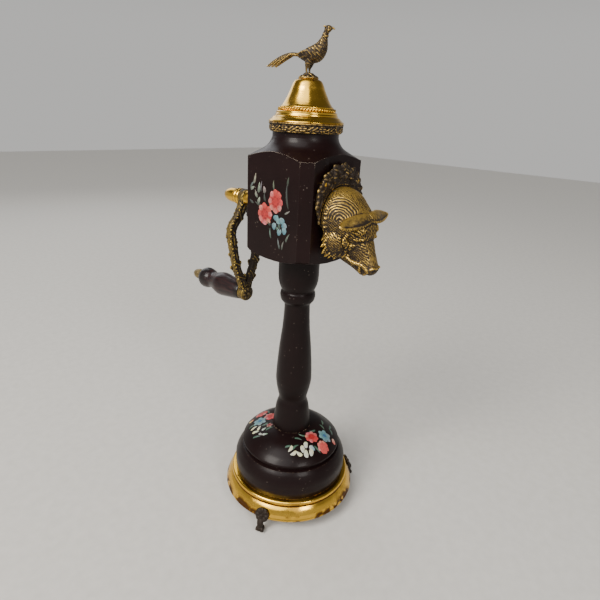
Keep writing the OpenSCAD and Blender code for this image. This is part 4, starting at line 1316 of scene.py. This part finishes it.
def feathers(place, normal):
    """Rows of small round feathers on the body and neck, and barbs on the tail."""
    x, y, z = (place - np.array((0, 0, bell_top))).T / MM
    along = z * 0.75 - y * 0.66
    around = np.degrees(np.arctan2(x, (y + 3) * 0.75 + (z - 11) * 0.66 + 5))
    size = np.where(z > 15, 0.85, 1.25)
    line = along / size
    across = around / 17 + 0.5 * (np.floor(line) % 2)
    u = 2 * (across - np.floor(across)) - 1
    v = line - np.floor(line)
    scale = np.clip(1 - u * u - v * 0.85, 0, 1) * 0.20
    body = (y < 4.2) & (z > 6.2) & (z < 20)
    spine = np.abs(x * 1.6 - np.round(x * 1.6))
    barbs = np.sin(2 * math.pi * (y * 0.9 + spine * 1.2) / 0.8) * 0.055
    tail = (y >= 4.2) & (z > 3)
    return (np.where(body, scale, 0) + np.where(tail, barbs, 0)) * MM


carve(pheasant, feathers)
store_relief(pheasant, 0.00028, 12)
pheasant.data.transform(Matrix.Rotation(math.radians(BIRD_TURN), 4, "Z"))
finish_piece(pheasant, "bell", "pheasant", slot="antique_brass")


# ---- crank ----
# A cast open loop with oak leaves laid along its edges and a rosette over each end. A steel
# shank runs from its hub through a brass bush into the block, where it carries the worm.

HUB_R = 0.0049
SHANK_R = 0.0024
CAP_BORE_R = 0.0021
CAP_LEN = 0.0156
PIN_R = 0.0015
OUTER_LEAVES = 15
SIDE_LEAVES = 11
ARM_MIDDLE = ((0.16, 0.05), (0.37, 0.168), (0.71, 0.262), (0.80, 0.35), (0.68, 0.51), (0.52, 0.69),
              (0.33, 0.80), (0.16, 0.90))
ARM_HALF_W = (0.0027, 0.0028, 0.0030, 0.0028, 0.0026, 0.0025, 0.0025, 0.0027)

arm_low, arm_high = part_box("crank_arm")
arm_front, arm_back = arm_low.y, arm_high.y
loop_half_w = arm_high.x
grip_z = middle("grip").z
crank_throw = crank_z - grip_z
arm_y = (arm_front + 0.0004 + arm_back) / 2

oak_leaf = joined([ball((0, 0, 0), (0.0027, 0.0006, 0.0008))] + [
    ball((0.0012 - 0.0014 * k, side * (0.0008 + 0.0003 * k), -0.0002),
         (0.0011, 0.0006, 0.0006), tilt(side * 50, "Z")) for side in (-1, 1) for k in range(3)])
crank_brass = antique_brass("crank_brass", (0.56, 0.38, 0.07), 0.50, 0.80)


def rosette(place, radius):
    """Eight petals round a button, drawn on the XY plane and facing +Z."""
    button = ball((0, 0, 0.0004), (radius * 0.28, radius * 0.28, 0.0009))
    petal = ball((radius * 0.62, 0, 0), (radius * 0.34, radius * 0.21, 0.0007))
    return [moved(button, place)] + ringed(petal, 8, place)


def facing_front(x, y, z):
    return Matrix.Translation((x, y, z)) @ Matrix.Rotation(math.radians(90), 4, "X")


arm = []
for side in (-1, 1):
    rows = [(side * share * loop_half_w, arm_y, crank_z - down * crank_throw, half, 0.0022)
            for (share, down), half in zip(ARM_MIDDLE, ARM_HALF_W)]
    arm.append(loft(rows, (1, 0, 0), 6, 24, 0.6))
    line = curve([place[:3] for place in rows], 6)
    halves = np.interp(np.linspace(0, 1, len(line)), np.linspace(0, 1, len(ARM_HALF_W)),
                       ARM_HALF_W)
    outer, outer_out = [], []
    for i, point in enumerate(line):
        ahead = Vector(line[min(i + 1, len(line) - 1)]) - Vector(line[max(i - 1, 0)])
        away = Vector((ahead.z, 0, -ahead.x)).normalized()
        if away.x * side < 0:
            away = -away
        outer.append(Vector(point) + away * (halves[i] * 0.72))
        outer_out.append(away)
    arm.append(as_shape(row("outer_leaves", outer, outer_out, oak_leaf, OUTER_LEAVES, None,
                            Size=1.12, Lean=math.pi)))
    for way in (-1, 1):
        clear_of_ends = slice(3, len(line) - (9 if way > 0 else 1))
        points = [Vector(p) + Vector((0, way * 0.0019, 0)) for p in line[clear_of_ends]]
        outs = [Vector((0, way, 0))] * len(points)
        arm.append(as_shape(row("side_leaves", points, outs, oak_leaf, SIDE_LEAVES, None,
                                Size=1.1, Spread=0.25, Lean=math.pi, Swing=0.8, Seed=7)))
arm.append(as_shape(turned("hub", [(0, 0), (HUB_R - 0.0004, 0), (HUB_R, 0.0005), (HUB_R, 0.0042),
                                   (HUB_R - 0.0006, 0.0048), (0, 0.0048)], around=64,
                           place=along_y(arm_front + 0.0002, crank_z))))
arm.append(as_shape(turned("boss", [(0, 0), (HUB_R - 0.0006, 0), (HUB_R, 0.0006), (HUB_R, 0.0047),
                                    (HUB_R - 0.0003, 0.005), (0, 0.005)], around=64,
                           place=along_y(arm_front, grip_z))))
bead = ball((HUB_R * 0.78, 0, 0), (0.0010, 0.0009, 0.0006))
arm += ringed(bead, 10, facing_front(0, arm_front + 0.0003, crank_z))
crank = cast("cast_crank", arm, CAST_CELL, crank_brass)
soften(crank, 1)


def within_the_arm(place, normal):
    """Flattens the back of the boss and of the hub, where other pieces bear on them."""
    x, y, z = place.T
    near = np.minimum(np.hypot(x, z - grip_z), np.hypot(x, z - crank_z)) < 0.0075
    return np.where(near & (y > arm_back) & (normal[:, 1] > 0.3), arm_back - y, 0)


def hand_rub_and_painted_light(place, normal):
    """Lightens the outside of the loop, partly hand wear and partly a painted highlight, and
    darkens its front as painted shade.
    """
    outside = normal[:, 0] * np.sign(place[:, 0])
    return outside * 0.15 + np.minimum(normal[:, 1], 0) * 0.07


carve(crank, within_the_arm)
store_relief(crank, 0.0003, 12, hand_rub_and_painted_light)
finish_piece(crank, "crank", "crank_arm", slot="antique_brass")

cap_outline = ([(CAP_BORE_R, 0), (HUB_R - 0.0003, 0), (HUB_R, 0.0005), (HUB_R, 0.0014),
                (HUB_R - 0.0006, 0.0019), (HUB_R - 0.0007, 0.0022)]
               + curve([(HUB_R - 0.0003, 0.0027), (HUB_R - 0.0001, 0.0036),
                        (HUB_R - 0.0006, 0.0046)], 6)
               + [(HUB_R - 0.0010, 0.0048), (HUB_R - 0.0010, 0.0051)]
               + curve([(HUB_R - 0.0007, 0.0054), (HUB_R * 0.87, 0.0085), (HUB_R * 0.78, 0.0112),
                        (HUB_R * 0.62, 0.0134), (HUB_R * 0.36, 0.0150), (0, CAP_LEN)], 8)
               + [(0, 0.008), (CAP_BORE_R, 0.008)])
cap_brass = polished_brass("cap_brass", 0.0003)
cap = turned("crank_knob", cap_outline, cap_brass, around=96, place=along_y(arm_back, crank_z))
store_relief(cap, 0.0003, 8)
finish_piece(cap, "crank", "crank_cap", slot="polished_brass")
coat(plain_brass, "crank_sleeve", "crank_ferrule")

pin_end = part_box("grip_pin")[1].y
flower = rosette(facing_front(0, arm_front - 0.0003, grip_z), HUB_R - 0.0008)
flower.append(ball((0, arm_front + 0.0001, grip_z), (HUB_R - 0.0009, 0.0007, HUB_R - 0.0009)))
flower.append(loft([(0, y, grip_z, PIN_R, PIN_R) for y in (arm_front, pin_end)],
                   steps=1, sides=32))
pin = cast("rosette_pin", flower, 0.00014, crank_brass)
store_relief(pin, 0.00025, 10)
finish_piece(pin, "crank", "grip_pin", slot="antique_brass")


# ---- corkscrew ----
# A steel shank drawn down and wound into an open worm with a sharp point.

WORM_R = 0.00325
WORM_WIRE_R = 0.00125
WORM_PITCH = 0.0085
WORM_STEPS = 26
STUB_R = 0.002

screw_low, screw_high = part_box("corkscrew")
worm_top = flat - 0.0075
worm_len = worm_top - screw_low.y - 0.0003
worm_turns = worm_len / WORM_PITCH
worm_parts = int(worm_turns * WORM_STEPS)
worm_rows = []
for k in range(worm_parts + 1):
    t = k / worm_parts
    a = 2 * math.pi * worm_turns * t
    reach = WORM_R * min(1, t * worm_turns * 3 + 0.05)
    wire = WORM_WIRE_R * min(1, (1 - t) * 6 + 0.12)
    worm_rows.append((reach * math.cos(a), worm_top - worm_len * t, crank_z - reach * math.sin(a),
                      wire, wire))
screw = joined([
    as_shape(turned("shank", [(0, worm_top - 0.0006), (SHANK_R - 0.0006, worm_top - 0.0006),
                              (SHANK_R, worm_top), (SHANK_R, arm_back), (STUB_R, arm_back),
                              (STUB_R, screw_high.y), (0, screw_high.y)], around=48,
                    place=along_y(0, crank_z))),
    loft(worm_rows, (0, 1, 0), 1, 14)])
worm_steel = steel("worm_steel")
corkscrew = make("wound_corkscrew", *screw, worm_steel)
finish_piece(corkscrew, "crank", "corkscrew", slot="steel")


# ---- grip ----
# A small turned hardwood grip that spins on its pin, stained red-brown and dark at both ends. A
# dull brass button closes its end.

GRIP_R = 0.0077
BUTTON_BORE = 0.0042

grip_low, grip_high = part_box("grip")
grip_len = grip_high.y - grip_low.y
pin_hole_r = PIN_R + FIT
grip_outline = ([(pin_hole_r, 0), (GRIP_R * 0.60, 0), (GRIP_R * 0.65, 0.0003)]
                + curve([(GRIP_R * 0.67, 0.0008), (GRIP_R * 0.76, grip_len * 0.1),
                         (GRIP_R * 0.9, grip_len * 0.28), (GRIP_R, grip_len * 0.46),
                         (GRIP_R * 0.83, grip_len * 0.6), (GRIP_R * 0.7, grip_len * 0.7),
                         (GRIP_R * 0.85, grip_len * 0.8), (GRIP_R * 0.89, grip_len * 0.89),
                         (GRIP_R * 0.68, grip_len * 0.97), (GRIP_R * 0.52, grip_len * 0.995)], 12)
                + [(GRIP_R * 0.45, grip_len), (pin_hole_r, grip_len)])


def stained_wood():
    """Red-brown stain with long dark pores, under a thin worn varnish."""
    finish = Finish("stained_wood")
    grain = finish.noise(0.0016, 5, (1.0, 0.10, 1.0))
    pores = finish.noise(0.0006, 3, (1.0, 0.06, 1.0))
    hand = finish.noise(0.012, 3)
    wood = finish.tint(grain.between(0.35, 0.65), (0.0070, 0.0026, 0.0032),
                       (0.024, 0.0078, 0.0078))
    held = finish.tint(hand.between(0.45, 0.7) * 0.6, wood, (0.010, 0.004, 0.004))
    along = finish.along("Y")
    by_the_arm = (along * -1.0).between(-grip_low.y - 0.0045, -grip_low.y - 0.0015)
    on_the_knob = along.between(grip_low.y + grip_len * 0.74, grip_low.y + grip_len * 0.82)
    stain = finish.tint((by_the_arm + on_the_knob) * 0.75, held, (0.004, 0.003, 0.003))
    finish.bump(pores.between(0.3, 0.5), 0.00004)
    return finish.surface(Base_Color=stain, Roughness=0.24 + hand * 0.18,
                          Coat_Weight=0.16, Coat_Roughness=0.14, Specular_IOR_Level=0.35)


grip_wood = stained_wood()
grip = turned("turned_grip", grip_outline, grip_wood, around=112,
              place=along_y(grip_low.y, grip_z))
finish_piece(grip, "grip", "grip", slot="lacquered_wood")

button_low, button_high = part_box("grip_button")
button_len = button_high.y - button_low.y
button_outline = ([(pin_hole_r, 0), (0.0033, 0), (0.0037, 0.0004), (0.0037, 0.0009),
                   (0.0034, 0.0013)]
                  + curve([(0.0032, 0.0016), (0.0035, button_len * 0.4), (0.0030, button_len * 0.7),
                           (0.0018, button_len * 0.93), (0, button_len)], 10)
                  + [(0, BUTTON_BORE), (pin_hole_r, BUTTON_BORE)])
button_brass = antique_brass("button_brass", (0.42, 0.31, 0.13), 0.44, 0.70)
button = turned("turned_button", button_outline, button_brass, around=64,
                place=along_y(button_low.y, grip_z))
store_relief(button, 0.00025, 6)
finish_piece(button, "crank", "grip_button", slot="antique_brass")


# ---- oak wreath ----
# A cast plate with a wreath of oak leaves and acorns over the top and down both sides, pinned to
# the block. The middle is plain and slotted for the blade.

WREATH_R = 0.0176
WREATH_LIFT = 0.0045
WREATH_T = 0.0025
HEAD_R = 0.0155
HEAD_DROP = 0.012

plate_y = -flat - WREATH_T
wreath_z = opener_z - WREATH_LIFT
wreath_leaf = joined([ball((0, 0, 0.0004), (0.0038, 0.0005, 0.0007))] + [
    ball((0.0020 - 0.0020 * k, side * 0.0013, 0.0001), (0.0014, 0.0011, 0.0008),
         tilt(side * 35, "Z")) for side in (-1, 1) for k in range(3)])
acorn = joined([ball((0.0010, 0, 0.0008), (0.0019, 0.0013, 0.0013)),
                ball((-0.0006, 0, 0.0008), (0.0009, 0.0016, 0.0016)),
                ball((0.0029, 0, 0.0008), (0.0005, 0.0003, 0.0003))])


def wreath_line(radius, start, end):
    """An arc on the front of the block, with every way out towards the front."""
    angles = np.radians(np.linspace(start, end, 80))
    line = [Vector((radius * math.cos(a), plate_y + 0.0003, wreath_z + radius * math.sin(a)))
            for a in angles]
    return line, [Vector((0, -1, 0))] * len(line)


wreath_brass = antique_brass("wreath_brass", (0.60, 0.40, 0.12), 0.56, 0.80)
plate = turned("plate", [(0, 0), (WREATH_R - 0.0020, 0), (WREATH_R - 0.0016, 0.0005),
                         (WREATH_R - 0.0016, WREATH_T), (0, WREATH_T)], around=96,
               place=along_y(plate_y, wreath_z))
cut(plate, brick("slot", (-SOCKET_HALF_W, -0.05, opener_z - SOCKET_HALF_T),
                 (SOCKET_HALF_W, 0, opener_z + SOCKET_HALF_T)), "DIFFERENCE")
layers = [as_shape(plate)]
for radius, start, end, shape, count, size, lean, swing in (
        (WREATH_R - 0.0026, -38, 218, wreath_leaf, 21, 1.1, 12, -30),
        (WREATH_R - 0.0050, -20, 200, wreath_leaf, 13, 0.80, -35, 75),
        (WREATH_R - 0.0018, 20, 160, acorn, 7, 0.85, 55, -110),
        (WREATH_R - 0.0046, 40, 140, acorn, 6, 0.95, 70, -140),
        (WREATH_R - 0.0078, 48, 132, wreath_leaf, 7, 0.85, 20, 60)):
    line, outs = wreath_line(radius, start, end)
    layers.append(as_shape(row("wreath_row", line, outs, shape, count, None, Size=size,
                               Spread=0.08, Lean=math.radians(lean),
                               Swing=math.radians(swing), Seed=count)))
wreath = cast("cast_wreath", layers, 0.00021, wreath_brass)
soften(wreath, 1)

# the plate is flat where the head stands, and at its back
places = read(wreath.data, "co")
behind_head = np.hypot(places[:, 0], places[:, 2] - (opener_z - HEAD_DROP)) < HEAD_R
places[:, 1] = np.where(behind_head, np.maximum(places[:, 1], plate_y), places[:, 1])
places[:, 1] = np.minimum(places[:, 1], -flat)
write(wreath.data, places)
store_relief(wreath, 0.00035, 12)
finish_piece(wreath, "stand", "oak_wreath", slot="antique_brass")
coat(plain_brass, "wreath_pins", "opener_socket")
coat(worm_steel, "opener_blade", "opener_screws")


# ---- animal's head ----
# A hollow-backed casting of a shaggy long-snouted beast, half boar and half hound, screwed to the
# blade's flange. The fur is modelled in locks; what stands out is rubbed bright, what faces up
# carries a painted highlight and the brow a painted shade.

EAR_TILT = 0.05

head_front, head_back = (corner.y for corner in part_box("animal_head"))
rng = random.Random(21)


def head_rows(*rows):
    """Rows of a loft in millimetres: across, in front of the head's back, height."""
    return [(x * MM, head_back - y * MM, z * MM, w * MM, d * MM) for x, y, z, w, d in rows]


def lump(x, y, z, *size, turn=None):
    return ball((x * MM, head_back - y * MM, z * MM), [s * MM for s in size], turn)


def ear_rows(side, *rows):
    """Rows of an ear: distance from the middle, then as above. The right ear stands higher."""
    return head_rows(*[(side * x, y, z + side * x * EAR_TILT, w, d) for x, y, z, w, d in rows])


head = [
    loft(head_rows((0, 0.0, 187.0, 14.3, 14.8), (0, 2.0, 187.0, 14.3, 14.3),
                   (0, 5.0, 185.8, 13.6, 13.0), (0, 10.0, 183.4, 12.0, 10.6),
                   (0, 15.0, 180.3, 9.2, 8.8), (0, 17.6, 179.2, 6.6, 6.8),
                   (0, 19.6, 178.4, 2.8, 3.2)), steps=5, sides=40),
    loft(head_rows((0, 9.0, 180.5, 9.0, 9.0), (0, 13.6, 174.8, 7.6, 7.4),
                   (0, 17.3, 169.6, 5.9, 5.8), (0, 20.6, 164.9, 4.8, 4.7),
                   (0, 22.0, 162.9, 4.5, 4.2)), steps=5, sides=32),
    loft(head_rows((0, 3.5, 173.0, 8.0, 6.0), (0, 8.5, 169.3, 6.0, 4.6),
                   (0, 14.0, 165.6, 4.2, 3.0), (0, 18.4, 162.2, 3.2, 2.0)), steps=5, sides=24),
    lump(0, 22.6, 164.4, 4.3, 2.2, 3.0, turn=tilt(30)),
    lump(0, 20.5, 168.2, 3.0, 3.0, 1.6, turn=tilt(-32))]
for side in (-1, 1):
    head += [
        lump(side * 8.6, 5.6, 177.0, 5.4, 6.0, 7.6),
        loft(ear_rows(side, (0.5, 17.0, 189.0, 2.4, 1.8), (4.0, 17.2, 188.9, 2.9, 1.7),
                      (8.0, 16.6, 188.6, 3.2, 1.6), (12.0, 15.6, 188.2, 3.0, 1.4),
                      (15.6, 15.2, 187.9, 2.2, 1.2), (18.2, 15.3, 187.8, 1.2, 0.9),
                      (19.8, 15.4, 187.8, 0.4, 0.4)), (0, 0.62, 0.78), 6, 24),
        loft(ear_rows(side, (0.5, 18.8, 187.2, 0.8, 0.8), (4.0, 18.9, 186.8, 0.9, 0.8),
                      (8.0, 18.5, 186.3, 0.9, 0.8), (12.0, 17.5, 186.0, 0.8, 0.8),
                      (15.8, 16.6, 186.3, 0.7, 0.7), (18.4, 15.9, 187.1, 0.6, 0.6),
                      (19.6, 15.5, 187.7, 0.4, 0.4)), (0, 1, 0), 6, 14),
        lump(side * 5.8, 17.0, 181.4, 1.7, 1.6, 1.5),
        loft(head_rows((side * 3.4, 19.0, 180.6, 0.6, 0.6), (side * 5.6, 18.6, 179.4, 0.8, 0.7),
                (side * 8.6, 15.8, 179.8, 0.7, 0.6)), (0, 1, 0), 5, 12),
        loft(head_rows((side * 2.6, 19.4, 183.2, 0.8, 0.7), (side * 5.4, 18.6, 183.9, 0.9, 0.8),
                (side * 9.0, 15.4, 183.2, 0.7, 0.6)), (0, 1, 0), 5, 12),
        loft(head_rows((side * 3.9, 22.6, 163.6, 0.9, 0.9), (side * 5.0, 20.6, 166.4, 1.0, 0.9),
                (side * 5.9, 17.2, 167.4, 1.0, 0.9), (side * 6.2, 13.0, 168.4, 0.9, 0.9),
                (side * 6.8, 9.4, 171.4, 0.7, 0.8)), (0, 1, 0), 6, 14),
        loft(head_rows((side * 4.4, 18.4, 163.4, 0.9, 0.9), (side * 5.6, 18.8, 165.6, 0.7, 0.7),
                (side * 6.0, 18.6, 168.4, 0.3, 0.3)), (0, 1, 0), 5, 10),
        loft(head_rows((side * 1.2, 24.6, 165.6, 0.7, 0.6), (side * 2.8, 24.4, 165.9, 0.8, 0.7),
                (side * 3.8, 22.8, 164.6, 0.6, 0.6)), (0, 1, 0), 5, 10)]


def lock(x, y, z, dx, dy, dz, thick):
    """A lock of fur from its root to its tip, bent down a little, in millimetres."""
    sway = rng.uniform(-0.6, 0.6)
    return loft(head_rows((x, y, z, thick * 0.7, thick * 0.5),
                   (x + dx * 0.4 + sway * 0.4, y + dy * 0.4, z + dz * 0.35, thick, thick * 0.7),
                   (x + dx * 0.8 - sway * 0.3, y + dy * 0.8, z + dz * 0.75,
                    thick * 0.6, thick * 0.5),
                   (x + dx, y + dy, z + dz, thick * 0.12, thick * 0.12)), (0, 1, 0), 3, 7)


for side in (-1, 1):
    # cheeks and throat: long locks that run back and down from the muzzle
    for k in range(9):
        for j in range(7):
            share, fall = k / 8, j / 6
            x = side * (mix(6.4, 13.2, math.sin(share * 2.2)) - 1.4 * fall + rng.uniform(-0.5, 0.5))
            y = mix(13.6, 1.8, share) - 0.8 * fall
            z = mix(179.8, 171.2, fall) + 1.6 * share + rng.uniform(-0.5, 0.5)
            head.append(lock(x, y, z, side * rng.uniform(0.6, 1.6), -rng.uniform(1.6, 3.0),
                             -rng.uniform(2.6, 4.2), rng.uniform(0.62, 0.85)))
    # shaggy hair round the eye and under the ear
    for k in range(30):
        a = math.radians(rng.uniform(-110, 60))
        head.append(lock(side * (7.6 + 3.0 * math.cos(a)), 15.6 - 2.6 * math.cos(a),
                         180.2 + 3.4 * math.sin(a), side * 1.6 * math.cos(a), -0.9,
                         -rng.uniform(1.8, 3.2), 0.8))
    # a fan of stiff hair between the eye and the ear
    for k in range(7):
        a = math.radians(mix(-20, 75, k / 6))
        head.append(lock(side * 4.2, 19.3, 183.0, side * 5.4 * math.cos(a), -2.4 * math.cos(a),
                         2.8 * math.sin(a), 0.95))
    # ruff in front of the wreath
    for k in range(17):
        a = math.radians(mix(-58, 84, k / 16))
        reach = rng.uniform(1.4, 2.4)
        head.append(lock(side * 12.6 * math.cos(a), 3.6, 187.0 + 12.6 * math.sin(a),
                         side * reach * math.cos(a), -2.0, reach * math.sin(a), 0.9))
# short hair down the ridge of the muzzle
for k in range(40):
    share = rng.uniform(0, 1)
    a = rng.uniform(-1.1, 1.1)
    wide = mix(7.2, 4.2, share)
    head.append(lock(wide * math.sin(a), mix(16.4, 22.2, share) + 0.3 * math.cos(a) * wide - 1.2,
                     mix(180.6, 168.2, share) + 0.9 * math.cos(a), rng.uniform(-0.5, 0.5), -0.9,
                     rng.uniform(1.2, 2.2), 0.5))
head_brass = antique_brass("head_brass", (0.80, 0.51, 0.10), 0.51, 0.79)
beast = cast("cast_head", head, 0.00028, head_brass)
soften(beast, 1)


def hair(place, normal):
    """Fine hair over all, rings of hair above each ear and on the forehead, and two nostrils."""
    x, y, z = place.T / MM
    ahead = (head_back / MM) - y
    side = np.abs(x)
    wobble = (np.sin(x * 1.3 + z * 0.7) + np.sin(z * 1.1 - ahead * 0.9)
              + 1.6 * np.sin(x * 3.1 + ahead * 2.3) * np.sin(z * 2.7))
    along_side = np.sin(2 * math.pi * (0.55 * ahead + 0.83 * z) + wobble)
    along_top = np.sin(2 * math.pi * x + wobble)
    shaggy = 1 + 1.8 * np.exp(-((side - 6.5) ** 2 / 22 + (z - 182.0) ** 2 / 16))
    strands = np.where(np.abs(normal[:, 0]) > 0.5, along_side, along_top) * 0.09 * shaggy
    ring = np.sqrt((side - 13.0) ** 2 + (ahead - 9.5) ** 2 + (z - 188.0) ** 2)
    bent = 0.22 * np.sin(x * 0.8 + z * 0.5) + 0.10 * np.sin(ahead * 1.6 - z * 1.1)
    broken = 0.72 + 0.28 * np.sin(x * 1.3 - ahead * 0.9 + z * 0.7)
    rings = np.sin(2 * math.pi * (ring + bent) / 1.4) * 0.16 * broken
    top = (normal[:, 2] > 0.0) & (z > 188.0) & (ahead > 3.0) & (ahead < 15.5)
    out = np.where(top & (ring < 12.0) & (side > 2.5), rings, strands)
    smooth_ear = (side > 3) & (ahead > 14.5) & (z > 185.6) & (normal[:, 2] > 0.1)
    out = np.where(smooth_ear, 0.02 * strands, out)
    nostril = np.exp(-((side - 1.9) ** 2 + (ahead - 25.0) ** 2 + (z - 164.2) ** 2) / 0.9)
    out = np.where(ahead > 22.4, 0.25 * out, out) - 0.8 * nostril
    return out * np.clip(ahead - 0.2, 0, 1) * MM


carve(beast, hair)
places = read(beast.data, "co")
places[:, 1] = np.clip(places[:, 1], head_front, head_back)
write(beast.data, places)


def painted_top_light_and_brow_shade(place, normal):
    """Brightens what faces up and darkens what faces down: partly polish where a cloth reaches the
    forehead, ears and muzzle, partly painted light from above. Painted shade under the brow.
    """
    x, y, z = place.T / MM
    eye = np.exp(-((np.abs(x) - 7) ** 2 / 16 + (z - 182.0) ** 2 / 8))
    return np.maximum(normal[:, 2], -0.2) * 0.26 - 0.06 * eye


store_relief(beast, 0.00042, 12, painted_top_light_and_brow_shade)
finish_piece(beast, "opener", "animal_head", slot="antique_brass")
